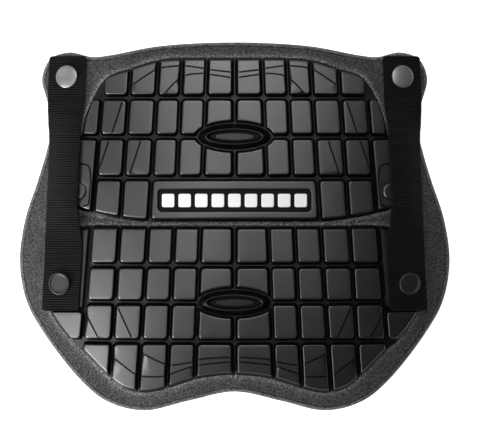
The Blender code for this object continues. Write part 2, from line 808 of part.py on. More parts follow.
def make_strap(side, snaps):
    """One webbing strap from the ear to the wing."""
    outline, spots = strap_track(side)
    holes = [snap.hole(lambda x, y: strap_rise(x, y) + STRAP_THICKNESS / 2) for snap in snaps]
    spots = [p for p in spots if clearance(p, holes) > SEAT_GAP and not any(inside(p, h) for h in holes)]
    front = Side(strap_rise, STRAP_THICKNESS, STRAP_THICKNESS, spots=spots)
    back = Side(strap_rise, spots=spots)
    name = "strap_left" if side < 0 else "strap_right"
    return sheet_body(name, "webbing", outline, front, back, holes)


def main():
    """Build every piece."""
    for old in list(bpy.data.objects):
        bpy.data.objects.remove(old, do_unlink=True)
    snaps = {side: [Snap(level, side) for level in SNAP_PLACES] for side in (-1, 1)}
    make_pad(snaps[-1] + snaps[1])
    make_upper_plate()
    make_lower_plate([snaps[-1][1], snaps[1][1]])
    make_bars()
    for side in (-1, 1):
        make_strap(side, snaps[side])
        for snap in snaps[side]:
            snap.cap()
            snap.post()


main()
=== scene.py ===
"""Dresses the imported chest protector: felt pad, moulded plates, webbing straps, bars and snaps."""
import json
import math
import bmesh
import bpy
import numpy as np
from bpy.props import FloatProperty, FloatVectorProperty, PointerProperty
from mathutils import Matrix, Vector
from mathutils.geometry import delaunay_2d_cdt


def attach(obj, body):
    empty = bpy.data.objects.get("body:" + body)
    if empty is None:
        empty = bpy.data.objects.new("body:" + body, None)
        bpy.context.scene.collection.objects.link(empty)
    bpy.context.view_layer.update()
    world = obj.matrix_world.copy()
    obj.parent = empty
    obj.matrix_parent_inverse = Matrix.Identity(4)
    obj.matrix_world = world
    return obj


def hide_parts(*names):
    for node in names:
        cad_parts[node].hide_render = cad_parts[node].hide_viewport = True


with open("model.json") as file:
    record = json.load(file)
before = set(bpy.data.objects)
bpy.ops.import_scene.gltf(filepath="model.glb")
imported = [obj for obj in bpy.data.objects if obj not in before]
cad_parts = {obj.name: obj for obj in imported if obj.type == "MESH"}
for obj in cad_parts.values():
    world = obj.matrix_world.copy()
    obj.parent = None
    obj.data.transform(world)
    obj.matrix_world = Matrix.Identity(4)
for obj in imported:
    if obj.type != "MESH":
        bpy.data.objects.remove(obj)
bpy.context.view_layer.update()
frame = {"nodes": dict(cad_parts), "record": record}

bl_info = {
    "name": "Chest Protector",
    "version": (1, 0, 0),
    "blender": (4, 5, 0),
    "location": "3D View > Sidebar > Protector",
    "description": "Builds the visible pieces of a padded chest protector",
    "category": "Add Mesh",
}

# Sizes shared with the solids, in metres
HALF_WIDTH = 0.140
HALF_HEIGHT = 0.1193
DOME_WIDE_RADIUS = 0.320
REST_SINK = 0.0022
SEAT_GAP = 0.00035
PAD_THICKNESS = 0.0080
PAD_ROUND = 0.0026
PAD_BACK_ROUND = 0.0012
FLOOR_HEIGHT = 0.0020
TILE_HEIGHT = 0.0064
LEDGE_HEIGHT = 0.0034
CHANNEL_WIDTH = 0.0014
WALL_WIDTH = 0.0016
PLATE_RIM = 0.0004
TILE_CORNER = 0.0012
TILE_SMALLEST = 0.0063
STRAP_WIDTH = 0.0260
STRAP_THICKNESS = 0.0016
STRAP_CORNER = 0.0024
STRAP_BOW = 0.30
RECESS_SIDE = 0.0029
RECESS_HALF_HEIGHT = 0.0074
RECESS_DEPTH = 0.0016
RECESS_DRAFT = 0.0007
BAR_COUNT = 9
BAR_MARGIN = (0.0022, 0.0024)
BAR_SPACE = 0.0026
BAR_CORNER = 0.0014
BAR_HEIGHT = 0.0010
CAP_RADIUS = 0.0073
CAP_HEIGHT = 0.0020
WASHER_WELL_RADIUS = 0.0074
WASHER_WELL_DEPTH = 0.0032

# Half outlines and groove lines, as shares of the half width and half height
PAD_OUTLINE = (
    (0.000, 1.000), (0.350, 0.980), (0.580, 0.932), (0.660, 0.924), (0.770, 0.950),
    (0.857, 0.915), (0.896, 0.810), (0.868, 0.670), (0.850, 0.540), (0.872, 0.417),
    (0.914, 0.253), (0.975, 0.035), (1.000, -0.190), (0.970, -0.400), (0.896, -0.564),
    (0.714, -0.837), (0.590, -0.952), (0.420, -1.000), (0.210, -0.945), (0.000, -0.896),
)
UPPER_OUTLINE = (
    (0.000, 0.913), (0.230, 0.913), (0.346, 0.904), (0.481, 0.857), (0.592, 0.808),
    (0.647, 0.714), (0.690, 0.591), (0.708, 0.499), (0.732, 0.433), (0.764, 0.335),
    (0.783, 0.243), (0.783, 0.166), (0.760, 0.117), (0.718, 0.093), (0.625, 0.065),
    (0.453, 0.031), (0.350, 0.027), (0.000, 0.027),
)
LOWER_OUTLINE = (
    (0.000, 0.003), (0.420, 0.003), (0.690, 0.003), (0.725, -0.007), (0.783, -0.052),
    (0.834, -0.155), (0.868, -0.292), (0.871, -0.400), (0.852, -0.464), (0.767, -0.603),
    (0.698, -0.678), (0.592, -0.802), (0.513, -0.876), (0.411, -0.900), (0.311, -0.876),
    (0.185, -0.828), (0.080, -0.807), (0.000, -0.802),
)
EAR_REST = (0.886, 0.863)
LOBE_REST = (0.998, -0.292)
GROOVE_HEIGHTS = (0.896, -0.014, -0.646)
GROOVES = (
    (0.000, 0.000, 0.000),
    (0.129, 0.159, 0.180),
    (0.244, 0.280, 0.306),
    (0.354, 0.400, 0.437),
    (0.481, 0.534, 0.570),
    (0.604, 0.664, 0.711),
)
UPPER_ROWS = (0.701, 0.487, 0.264)
LOWER_ROWS = (-0.210, -0.411, -0.623)
RECESS_PLACE = 0.141
KNOB_PLACE = (0.727, 0.193)

# Strap sections: v, u of the outer edge, lifts of the outer and inner edge, ledge share
STRAP_SECTIONS = (
    (0.930, 0.862, 0.00, 0.00, 0.0),
    (0.720, 0.868, 0.00, 0.00, 0.0),
    (0.645, 0.868, 0.00, 0.20, 0.0),
    (0.570, 0.866, -0.18, 0.62, 0.0),
    (0.500, 0.862, -0.16, 0.92, 0.0),
    (0.440, 0.861, 0.00, 1.12, 0.0),
    (0.335, 0.864, 0.00, 1.22, 0.0),
    (0.117, 0.871, 0.00, 1.22, 0.0),
    (0.030, 0.875, 0.00, 0.85, 0.2),
    (-0.106, 0.880, 0.00, 0.00, 1.0),
    (-0.460, 0.894, 0.00, 0.00, 1.0),
)

# Fine lines cut into the tile tops of the right half, u, v
UPPER_CUTS = (
    ((0.468, 0.771), (0.376, 0.842), (0.338, 0.860), (0.260, 0.870), (0.226, 0.870),
     (0.145, 0.857), (0.110, 0.849), (0.000, 0.833)),
    ((0.320, 0.724), (0.267, 0.789), (0.227, 0.818), (0.145, 0.829), (0.110, 0.823),
     (0.000, 0.804)),
    ((0.518, 0.678), (0.567, 0.504)),
    ((0.580, 0.466), (0.628, 0.302)),
    ((0.432, 0.466), (0.482, 0.288)),
    ((0.497, 0.237), (0.507, 0.183)),
    ((0.745, 0.338), (0.694, 0.338), (0.678, 0.330), (0.669, 0.312), (0.669, 0.138),
     (0.678, 0.120), (0.694, 0.112), (0.745, 0.112)),
)
LOWER_CUTS = (
    ((0.682, -0.486), (0.631, -0.602)),
    ((0.541, -0.433), (0.475, -0.602)),
    ((0.555, -0.716), (0.460, -0.798), (0.425, -0.811), (0.332, -0.811), (0.291, -0.796),
     (0.202, -0.760), (0.161, -0.749), (0.000, -0.729)),
    ((0.419, -0.692), (0.329, -0.740), (0.291, -0.749), (0.202, -0.734), (0.161, -0.719),
     (0.000, -0.705)),
)

# Finer forms that only the visible pieces have
WALL_RINGS = (                 # draft past the foot, height under the tile top, corner radius
    (0.00000, None, 0.0032),
    (0.00028, None, 0.0030),
    (0.00138, 0.00052, 0.0022),
    (0.00150, 0.00027, 0.0021),
    (0.00170, 0.00009, 0.0020),
    (0.00200, 0.00001, 0.0019),
    (0.00260, 0.00000, 0.0018),
)
FOOT_FILLET = 0.00035
LEAN = 0.8                     # share of the dome's slope that a tile's walls follow
INNER_WALL_CUT = 0.0009        # a tile's wall towards the middle is this much thinner
OUTER_WALL_SHARE = 1.20        # draft along the plate's edge, as a share of the other walls'
FOOT_SPREAD = 0.0003           # how far each tile's foot reaches into the groove
LEDGE_END = -0.4625            # v of the groove under each strap's lower end
STRAP_END_GAP = 0.00005        # the tile below that end starts this close to the groove's middle
STRAP_END_DRAFT = 0.30         # and its wall there has this share of the other walls' draft
DULL_AND_SHADED_DEPTH = 0.0005            # the ledges and the ovals' crests are as dull, and get as much painted shade, as tops sunk this deep
TOP_STEP = 0.0042              # distance between the loose points on a tile top
PLATE_STEP = 0.0012            # longest edge along a plate's outline
PLATE_BEVEL = (0.0002, 0.00025)  # width and depth of the bevel round a plate's floor
PLATE_BACK_SPOTS = (0.008, 0.003)  # step of the loose points, and their margin from the edge
SCALLOP = (0.001, 0.35, 0.0014)  # depth, strength and reach of the dips where grooves run out
CUT_WIDTH = 0.00110
CUT_FLOOR_SHARE = 0.56         # width of a fine line's bottom, as a share of its mouth
CUT_DEPTH = 0.00065
CUT_STEP = 0.0003
CUT_MARGIN = 0.35              # distance from a tile top's edge, as a share of the width
CUT_CLEAR = 0.0009
OVAL_CLEAR = (0.0262, 0.0107)  # half sizes of the ellipse that the tiles leave free
OVAL_SIZES = ((0.0234, 0.0083), (0.0184, 0.0048), (0.0155, 0.0029))  # foot, crest, well
OVAL_CREST = 0.0056
OVAL_WELL = 0.0034
OVAL_FORM = (                  # share of the way from foot over crest to well, level
    (0.00, FLOOR_HEIGHT), (0.10, 0.0023), (0.80, 0.0051), (0.92, 0.0055), (1.00, OVAL_CREST),
    (1.10, 0.0055), (1.25, 0.0051), (1.85, 0.0035), (2.00, OVAL_WELL),
)
OVAL_SIDES = 72
OVAL_RIB_TOP = 0.0042
OVAL_RIBS = 13                 # fine ribs at each side of the middle one
OVAL_RIB_PITCH = 0.00088
OVAL_RIB_HALF = 0.00019
OVAL_RIB_FLARE = 0.00006
OVAL_RIB_FIELD = (0.0124, 0.0020)  # half sizes of the ellipse that the ribs fill
RECESS_FORM = (                # growth past the recess, level over the tile top, corner radius
    (0.0007, 0.0, 0.0037), (0.0003, -0.00004, 0.0033), (0.0, -0.0002, 0.0030),
    (-0.0002, -0.0005, 0.0028), (-0.0006, -0.0015, 0.0024), (-0.0008, -RECESS_DEPTH, 0.0022),
)
RECESS_STEP = 0.003
RECESS_SPOTS = (0.0035, 0.0012)  # step of the loose points, and their margin from the edge
BAR_TILE_SPOTS = (0.0035, 0.0010)
BAR_FORM = ((0.0, 0.00035), (0.00008, 0.00016), (0.00022, 0.00004), (0.0004, 0.0))
KNOB_FORM = (                  # radius, level over the tile top
    (0.0065, 0.0), (0.0062, -0.0003), (0.0058, -0.0003), (0.0055, 0.0002),
    (0.0051, 0.0006), (0.0046, 0.00078), (0.0038, 0.0008), (0.0020, 0.0008),
)
KNOB_CLEAR = 0.0075
KNOB_SIDES = 40
PAD_STEP = 0.0022
PAD_EDGE_RINGS = (
    0.00009, 0.00035, 0.00076, 0.0013, 0.0018, 0.0022, 0.0025, 0.0027, 0.0029, 0.0032, 0.0038,
)
PAD_LIP_RINGS = (
    -0.0003, 0.00004, 0.0003, 0.0006, 0.0010, 0.0015, 0.0022, 0.0032, 0.0045, 0.0060,
)
PAD_BACK_RINGS = ((0.0002, 0.0006), (0.0006, 0.0002), (PAD_BACK_ROUND, 0.0), (0.0052, 0.0))
PAD_FRONT_SPOTS = (0.0036, 0.0050)
PAD_BACK_SPOTS = (0.0055, 0.0065)
WELL_FORM = ((0.0003, 0.0), (0.0, 0.0004), (-0.0003, WASHER_WELL_DEPTH))
WELL_CLEAR = 0.0095
WELL_SIDES = 32
SEAM_INSET = 0.0027
SEAM_WIDTH = 0.00032
SEAM_DEPTH = 0.00035
SEAM_PAINTED_SHADE = (0.7, 0.00035)    # painted shade in the seam line: how much darker it is, and how wide
# width of the painted highlight on the felt's rounded outer edge
PAINTED_EDGE_LIGHT_REACH = 0.0023
LIP_RISE = 0.0009
LIP_START = (0.00005, 0.0003)  # where the lip starts beside a plate, and in what width it rises
LIP_FALL = (0.0010, 0.0050)    # the same for its fall to the plain felt
RIB_PITCH = 0.00156
RIB_DEPTH = 0.00050
RIB_ROWS = 6
STRAP_COLUMNS = 26
SELVEDGE = 0.0004
SELVEDGE_STEP = 0.35           # place of its middle row, as a share of it
SELVEDGE_SWELL = (0.30, 0.78)  # thickness at its edge and at that row, as shares
RIB_SHAPE = 0.8                # how full each rib is: 1 for a sine, less for a fuller one
CAP_SIDES = 72
CAP_FORMS = {                  # radius and height of the turned outline, as shares
    "upper": (
        (0.90, 0.00), (0.96, 0.04), (1.00, 0.20), (1.00, 0.50), (0.993, 0.57), (0.975, 0.63),
        (0.945, 0.68), (0.89, 0.735), (0.80, 0.80), (0.66, 0.875), (0.48, 0.94), (0.28, 0.985),
        (0.12, 1.0),
    ),
    "lower": (
        (0.90, 0.00), (0.96, 0.04), (1.00, 0.20), (1.00, 0.60), (0.985, 0.76), (0.95, 0.86),
        (0.905, 0.90), (0.86, 0.89), (0.825, 0.82), (0.80, 0.70), (0.77, 0.63), (0.70, 0.62),
        (0.40, 0.625), (0.15, 0.63),
    ),
}
TURNING_PITCH = 0.00022        # distance between two turning marks of a cap
CAP_FACES = {"upper": 1.0, "lower": 0.62}  # height of each kind's flat face, as a share

# The stage
SOFT_BOXES = (                 # name, direction from the object, power in watts
    ("side_low", (-0.70, -0.70, 0.17), 31.0),
    ("side_main", (-0.64, -0.37, 0.67), 6.9),
    ("side_front", (-0.74, 0.00, 0.67), 1.1),
    ("side_back", (-0.75, 0.46, 0.45), 1.6),
    ("side_high", (-0.50, -0.16, 0.85), 1.2),
    ("collar_low", (0.00, 0.98, 0.17), 12.0),
    ("collar_near", (0.00, 0.53, 0.85), 4.1),
    ("collar_near_left", (-0.31, 0.43, 0.85), 1.7),
    ("collar_near_right", (0.31, 0.43, 0.85), 1.4),
    ("collar_over_right", (0.14, 0.24, 0.96), 0.8),
    ("collar_over_left", (-0.14, 0.24, 0.96), 0.8),
    ("top_right", (0.28, 0.00, 0.96), 0.6),
    ("top_left", (-0.16, 0.00, 0.98), 1.3),
)
MATT_ONLY = ("collar_low",)    # lights the felt and leaves no glare on the tile tops
BOX_DISTANCE = 1.5
BOX_SIZE = 0.45
LIGHTS_AIM = (0.0, 0.0, 0.02)
WORLD_GREY = (0.004, 0.004, 0.004, 1.0)
FLOOR_REACH = 9.0
FLOOR_SIDES = 96
FLOOR_DROP = 0.0002
SENSOR_WIDTH = 36.0
PICTURE_WIDTH = 500 * 0.00065  # pixels across the picture, metres a pixel
CAMERA_PLACE = (0.0100, 0.0023)
CAMERA_FOCUS_HEIGHT = 0.012

BODY = "root"


def place(shares):
    """A point in metres from its shares u, v."""
    return (shares[0] * HALF_WIDTH, shares[1] * HALF_HEIGHT)


def dome_tall_radius():
    """Radius from collar to hem that lets the ears and the lobes rest together."""
    ear, lobe = place(EAR_REST), place(LOBE_REST)
    return DOME_WIDE_RADIUS * (ear[1] ** 2 - lobe[1] ** 2) / (lobe[0] ** 2 - ear[0] ** 2)


DOME_TALL_RADIUS = dome_tall_radius()


def dome_drop(x, y):
    """Fall of the dome below its crown; numbers or arrays."""
    return x * x / (2 * DOME_WIDE_RADIUS) + y * y / (2 * DOME_TALL_RADIUS)


CROWN = dome_drop(*place(LOBE_REST)) - REST_SINK


def back_rise(x, y):
    """Height of the pad's back."""
    return CROWN - dome_drop(x, y)


def front_rise(x, y):
    """Height of the pad's front."""
    return back_rise(x, y) + PAD_THICKNESS


def plate_rise(x, y):
    """Height of a plate's back."""
    return front_rise(x, y) + SEAT_GAP


def mirrored(points):
    """The other side's copy of a loop, wound the same way."""
    return [(-x, y) for x, y in reversed(points)]


def curve_span(before, start, end, after, steps):
    """Points of a centripetal Catmull-Rom span, from its start up to its end."""
    control = [Vector(point) for point in (before, start, end, after)]
    knots = [0.0]
    for a, b in zip(control, control[1:]):
        knots.append(knots[-1] + math.sqrt(max((b - a).length, 1e-9)))
    span = []
    for step in range(steps):
        at = knots[1] + (knots[2] - knots[1]) * step / steps

        def blend(a, b, low, high):
            return a.lerp(b, (at - knots[low]) / (knots[high] - knots[low]))

        first = [blend(control[i], control[i + 1], i, i + 1) for i in range(3)]
        second = [blend(first[i], first[i + 1], i, i + 2) for i in range(2)]
        spot = blend(second[0], second[1], 1, 2)
        span.append((spot.x, spot.y))
    return span


def smooth_outline(half, steps=10, slack=0.00001, longest=0.0030):
    """The closed outline through a half outline and its mirror image."""
    right = [place(shares) for shares in half]
    control = right + mirrored(right)[1:-1]
    count = len(control)
    loop = []
    for i in range(count):
        loop += curve_span(*[control[(i + k) % count] for k in (-1, 0, 1, 2)], steps)
    return thinned(loop, slack, longest)


def thinned(loop, slack, longest=1.0):
    """The loop without the points that lie within slack of their neighbours' chord."""
    kept = list(loop)
    index = 0
    while index < len(kept) and len(kept) > 3:
        before = Vector(kept[index - 1])
        here = Vector(kept[index])
        after = Vector(kept[(index + 1) % len(kept)])
        chord = after - before
        off = abs(chord.cross(here - before)) / max(chord.length, 1e-9)
        if (here - before).length < 1e-5 or (off < slack and chord.length < longest):
            kept.pop(index)
        else:
            index += 1
    return kept


def plan_area(loop):
    """Signed plan area of a loop."""
    pairs = zip(loop, loop[1:] + loop[:1])
    return sum(a[0] * b[1] - b[0] * a[1] for a, b in pairs) / 2


def inset(loop, distance):
    """The loop moved inward by a distance, or outward if it is negative."""
    turn = 1.0 if plan_area(loop) > 0 else -1.0
    moved = []
    for i, point in enumerate(loop):
        here = Vector(point)
        along_in = (here - Vector(loop[i - 1])).normalized()
        along_out = (Vector(loop[(i + 1) % len(loop)]) - here).normalized()
        normal = (along_in + along_out).normalized().orthogonal() * turn
        stretch = max(0.5, normal.dot(along_in.orthogonal() * turn))
        spot = here + normal * distance / stretch
        moved.append((spot.x, spot.y))
    return moved


def clipped(loop, side, margin):
    """The part of a loop that lies at least margin inside one side (point, inward normal)."""
    point, normal = Vector(side[0]), Vector(side[1]).normalized()
    depth = [(Vector(p) - point).dot(normal) - margin for p in loop]
    kept = []
    for i, here in enumerate(loop):
        deep_before, deep_here = depth[i - 1], depth[i]
        if (deep_before >= 0) != (deep_here >= 0):
            share = deep_before / (deep_before - deep_here)
            crossing = Vector(loop[i - 1]).lerp(Vector(here), share)
            kept.append((crossing.x, crossing.y))
        if deep_here >= 0:
            kept.append(here)
    return kept


def rounded(loop, radius, steps=5, sharpest=0.45):
    """The loop with each sharp corner cut by an arc."""
    turned = []
    for i, point in enumerate(loop):
        here = Vector(point)
        back = Vector(loop[i - 1]) - here
        ahead = Vector(loop[(i + 1) % len(loop)]) - here
        turn = math.pi - back.angle(ahead, math.pi)
        if turn < sharpest:
            turned.append(point)
            continue
        reach = min(radius * math.tan(turn / 2), 0.4 * back.length, 0.4 * ahead.length)
        start, end = here + back.normalized() * reach, here + ahead.normalized() * reach
        for step in range(steps + 1):
            share = step / steps
            spot = start.lerp(here, share).lerp(here.lerp(end, share), share)
            turned.append((spot.x, spot.y))
    return turned


def divided(loop, longest):
    """The loop with no edge longer than a length."""
    parts = []
    for here, after in zip(loop, loop[1:] + loop[:1]):
        count = max(1, math.ceil(math.dist(here, after) / longest))
        for step in range(count):
            spot = Vector(here).lerp(Vector(after), step / count)
            parts.append((spot.x, spot.y))
    return parts


def oval(middle, half, sides):
    """A closed ellipse."""
    turns = [2 * math.pi * k / sides for k in range(sides)]
    return [(middle[0] + half[0] * math.cos(a), middle[1] + half[1] * math.sin(a)) for a in turns]


def corner_loop(middle, half):
    """A closed rectangle."""
    corners = ((1, 1), (-1, 1), (-1, -1), (1, -1))
    return [(middle[0] + half[0] * i, middle[1] + half[1] * j) for i, j in corners]


def box_loop(middle, half, corner, steps=6):
    """A closed rectangle with rounded corners."""
    return rounded(corner_loop(middle, half), corner, steps)


def cleared(loop, middle_y, half, upward):
    """The loop pushed out of an ellipse, up or down, where the ellipse reaches into it."""
    pushed = []
    for x, y in divided(loop, 0.0008):
        across = 1 - (x / half[0]) ** 2
        limit = half[1] * math.sqrt(max(across, 0.0))
        reach = (y - middle_y) * upward
        pushed.append((x, middle_y + limit * upward) if reach < limit and across > 0 else (x, y))
    return thinned(pushed, 0.00002)


def within(points, loop):
    """For each plan point, whether it lies inside a loop."""
    points, ring = np.asarray(points, float).reshape(-1, 2), np.asarray(loop, float)
    found = np.zeros(len(points), bool)
    for (ax, ay), (bx, by) in zip(ring, np.roll(ring, -1, axis=0)):
        if ay == by:
            continue
        spans = (ay > points[:, 1]) != (by > points[:, 1])
        cross = points[:, 0] < ax + (bx - ax) * (points[:, 1] - ay) / (by - ay)
        found ^= spans & cross
    return found


def distance_to(points, loop):
    """For each plan point, its distance to the nearest edge of a loop."""
    points, ring = np.asarray(points, float).reshape(-1, 2), np.asarray(loop, float)
    nearest = np.full(len(points), 1.0)
    for a, b in zip(ring, np.roll(ring, -1, axis=0)):
        run = b - a
        share = np.clip((points - a) @ run / max(run @ run, 1e-14), 0.0, 1.0)
        nearest = np.minimum(nearest, np.linalg.norm(points - a - share[:, None] * run, axis=1))
    return nearest


def spread(loop, step, margin):
    """Points on a staggered grid inside a loop, at least margin from its edge."""
    ring = np.asarray(loop)
    low, high = ring.min(axis=0), ring.max(axis=0)
    rows = np.arange(low[1] + step / 2, high[1], step * math.sqrt(0.75))
    spots = []
    for index, y in enumerate(rows):
        xs = np.arange(low[0] + step / 2 + (index % 2) * step / 2, high[0], step)
        spots += [(x, y) for x in xs]
    if not spots:
        return []
    spots = np.array(spots)
    keep = within(spots, loop) & (distance_to(spots, loop) > margin)
    return [tuple(map(float, spot)) for spot in spots[keep]]


class Face:
    """One side of a sheet: rings and loose spots with their levels over a surface."""

    def __init__(self, rise):
        self.rise = rise
        self.points, self.levels, self.edges = [], [], []

    def ring(self, loop, level):
        """Adds a closed ring."""
        start, count = len(self.points), len(loop)
        self.points += list(loop)
        self.levels += [level] * count
        self.edges += [(start + i, start + (i + 1) % count) for i in range(count)]

    def spots(self, places, level):
        """Adds loose spots."""
        self.points += list(places)
        self.levels += [level] * len(places)

    def mesh(self, outline):
        """Vertices, triangles and the place of each input point among the vertices."""
        found = delaunay_2d_cdt([Vector(p) for p in self.points], self.edges, [], 1, 1e-8)
        plan = np.array([(p.x, p.y) for p in found[0]])
        triangles = np.array(found[2])
        level = np.zeros(len(plan))
        used = {}
        for index, source in enumerate(found[3]):
            level[index] = self.levels[source[0]] if source else np.nan
            used.update({i: index for i in source})
        for index in np.flatnonzero(np.isnan(level)):
            gaps = np.linalg.norm(plan - plan[index], axis=1)
            gaps[np.isnan(level)] = 1.0
            level[index] = level[int(gaps.argmin())]
        keep = within(plan[triangles].mean(axis=1), outline)
        z = self.rise(plan[:, 0], plan[:, 1]) + level
        return np.column_stack((plan, z)), triangles[keep], used


def sheet_mesh(outline, front, back):
    """Vertices and faces of the closed body between two faces over the same outline."""
    front_points, front_faces, front_used = front.mesh(outline)
    back_points, back_faces, back_used = back.mesh(outline)
    shift = len(front_points)
    faces = [tuple(map(int, face)) for face in np.vstack((front_faces, back_faces + shift))]
    for a in range(len(outline)):
        b = (a + 1) % len(outline)
        back_edge = (shift + back_used[b], shift + back_used[a])
        faces.append((front_used[a], front_used[b], *back_edge))
    return np.vstack((front_points, back_points)), faces


def add_piece(name, body, finish, replaced, sharp=50.0, weighted=True, numbers=None):
    """A visible piece: a smooth-shaded closed mesh that stands for its solids."""
    vertices, faces = body
    mesh = bpy.data.meshes.new(name)
    mesh.from_pydata([tuple(map(float, v)) for v in vertices], [], faces)
    for key, values in (numbers or {}).items():
        layer = mesh.attributes.new(key, "FLOAT", "POINT")
        layer.data.foreach_set("value", np.asarray(values, np.float32))
    shape = bmesh.new()
    shape.from_mesh(mesh)
    bmesh.ops.delete(shape, geom=[v for v in shape.verts if not v.link_faces], context="VERTS")
    bmesh.ops.recalc_face_normals(shape, faces=shape.faces)
    shape.to_mesh(mesh)
    shape.free()
    mesh.materials.append(finish)
    mesh.shade_smooth()
    mesh.set_sharp_from_angle(angle=math.radians(sharp))
    piece = bpy.data.objects.new(name, mesh)
    bpy.context.scene.collection.objects.link(piece)
    if weighted:
        normals = piece.modifiers.new("Weighted normals", "WEIGHTED_NORMAL")
        normals.keep_sharp = True
    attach(piece, BODY)
    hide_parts(*replaced)
    return piece


class Wire:
    """A number that flows between shader nodes; plain arithmetic on it adds Math nodes."""

    def __init__(self, paint, socket):
        self.paint = paint
        self.socket = socket

    def __add__(self, other):
        return self.paint.maths("ADD", self, other)

    __radd__ = __add__

    def __mul__(self, other):
        return self.paint.maths("MULTIPLY", self, other)

    __rmul__ = __mul__


class Paint:
    """One material and the nodes that colour it."""

    def __init__(self, name):
        self.material = bpy.data.materials.new(name)
        self.material.use_nodes = True
        self.tree = self.material.node_tree
        self.tree.nodes.clear()

    def node(self, kind, settings=None, inputs=None):
        """Any node: its settings first, then the values or wires of its sockets."""
        made = self.tree.nodes.new(kind)
        for key, value in (settings or {}).items():
            if key == "stops":
                self.set_stops(made.color_ramp, value)
            else:
                setattr(made, key, value)
        for key, value in (inputs or {}).items():
            socket = made.inputs[key]
            if isinstance(value, Wire):
                self.tree.links.new(value.socket, socket)
            else:
                socket.default_value = value
        return made

    def set_stops(self, ramp, stops):
        """Gives a colour ramp its stops: place and grey value."""
        while len(ramp.elements) < len(stops):
            ramp.elements.new(1.0)
        for element, (spot, grey) in zip(ramp.elements, stops):
            element.position = spot
            element.color = (grey, grey, grey, 1.0)

    def out(self, node, key=0):
        """An output of a node, ready for arithmetic."""
        return Wire(self, node.outputs[key])

    def maths(self, operation, first, second):
        """A Math node on two values."""
        settings = {"operation": operation}
        return self.out(self.node("ShaderNodeMath", settings, {0: first, 1: second}))

    def sine(self, value):
        """The sine of a value."""
        return self.out(self.node("ShaderNodeMath", {"operation": "SINE"}, {0: value}))

    def ramp(self, value, *stops):
        """A value sent through a grey ramp."""
        return self.out(self.node("ShaderNodeValToRGB", {"stops": stops}, {0: value}))

    def places(self, stretch=None):
        """Object coordinates in metres, stretched if asked."""
        spots = self.out(self.node("ShaderNodeTexCoord"), "Object")
        if stretch is None:
            return spots
        mapped = self.node("ShaderNodeMapping", None, {"Vector": spots, "Scale": stretch})
        return self.out(mapped)

    def noise(self, scale, detail=2.0, rough=0.5, twist=0.0, stretch=None):
        """Cloudy noise, from 0 to 1 about 0.5; the scale is per metre."""
        inputs = {
            "Vector": self.places(stretch),
            "Scale": scale,
            "Detail": detail,
            "Roughness": rough,
            "Distortion": twist,
        }
        return self.out(self.node("ShaderNodeTexNoise", None, inputs), 0)

    def kept(self, name):
        """A number kept on the mesh."""
        return self.out(self.node("ShaderNodeAttribute", {"attribute_name": name}), "Fac")

    def tint(self, share, dark, light):
        """A colour between two colours."""
        inputs = {0: share, 6: (*dark, 1.0), 7: (*light, 1.0)}
        return self.out(self.node("ShaderNodeMix", {"data_type": "RGBA"}, inputs), 2)

    def bump(self, height, distance, strength=1.0, under=None):
        """A Bump node, over another one if given."""
        inputs = {"Height": height, "Distance": distance, "Strength": strength}
        if under is not None:
            inputs["Normal"] = under
        return self.out(self.node("ShaderNodeBump", None, inputs))

    def finish(self, **inputs):
        """Closes the material with its shader."""
        sockets = {key.replace("_", " "): value for key, value in inputs.items()}
        shader = self.node("ShaderNodeBsdfPrincipled", None, sockets)
        surface = {"Surface": self.out(shader)}
        self.node("ShaderNodeOutputMaterial", None, surface)
        return self.material


def felt_finish(look):
    """Heathered grey felt: fine light and dark fibres, matt, with painted light on the lip beside
    the plates and on the rounded edge, and painted shade in the seam.
    """
    paint = Paint("felt")
    grain = paint.noise(1250.0, 2.0, 0.6, 0.6)
    fibre = paint.noise(620.0, 3.0, 0.65, 1.5, (1.0, 1.8, 1.0))
    cloud = paint.noise(60.0, 2.0, 0.5)
    mixed = grain * 0.75 + fibre * 0.25
    fleck = paint.ramp(mixed, (0.38, 0.0), (0.49, 0.26), (0.57, 0.62), (0.66, 1.0))
    # painted light: the felt is made paler on the lip beside the plates, where light falls on it
    welt = paint.kept("welt")
    # painted highlight on the rounded outer edge, less the painted shade in the seam
    edge = paint.kept("edge")
    shade = fleck * (0.30 + 0.2 * cloud) * (1.0 + welt * look.painted_lip_light_strength + edge * look.painted_edge_light)
    grey = look.colour
    colour = paint.tint(shade, [c * 0.15 for c in grey], [c * 7.2 for c in grey])
    under = paint.bump(paint.noise(1500.0, 3.0, 0.7, 1.0), 0.0004, 0.8)
    relief = paint.bump(grain + 0.5 * fibre, 0.0007, 1.0, under)
    return paint.finish(
        Base_Color=colour, Roughness=0.95, Normal=relief, Specular_IOR_Level=0.2,
        Sheen_Weight=0.12, Sheen_Roughness=0.5,
    )


def plate_finish(look):
    """Moulded black rubber, satin, with faint clouding and a fine grain; the walls and groove floors
    get painted shade and lose their coat.
    """
    paint = Paint("plate")
    cloud = paint.noise(55.0, 3.0, 0.55, 0.6)
    smudge = paint.noise(190.0, 3.0, 0.6, 1.0)
    grain = paint.noise(2600.0, 2.0, 0.6)
    # painted shade: the coat and the colour fall away down the walls and over the groove floors, by
    # how far each point lies under the tile tops
    stops = ((0.07, 1.0), (0.15, 0.01), (0.90, 0.02), (1.0, look.groove_gloss_and_painted_shade))
    gloss = paint.ramp(paint.kept("sunk"), *stops)
    rough = 0.45 + 0.10 * cloud + 0.05 * smudge
    coat = gloss * (0.86 + 0.16 * cloud + 0.10 * smudge)
    # the colour carries the painted shade of the walls and groove floors
    shade = (cloud * 0.6 + grain * 0.4) * (0.15 + 0.85 * gloss)
    colour = paint.tint(shade, [c * 0.3 for c in look.colour], [c * 2.2 for c in look.colour])
    wave = paint.bump(paint.noise(70.0, 1.0, 0.4), 0.0007, 0.3)
    relief = paint.bump(grain, 0.00003, 0.6, wave)
    return paint.finish(
        Base_Color=colour, Roughness=rough, Normal=relief, Specular_IOR_Level=0.12,
        Coat_Weight=coat, Coat_IOR=1.8, Coat_Roughness=look.roughness,
    )


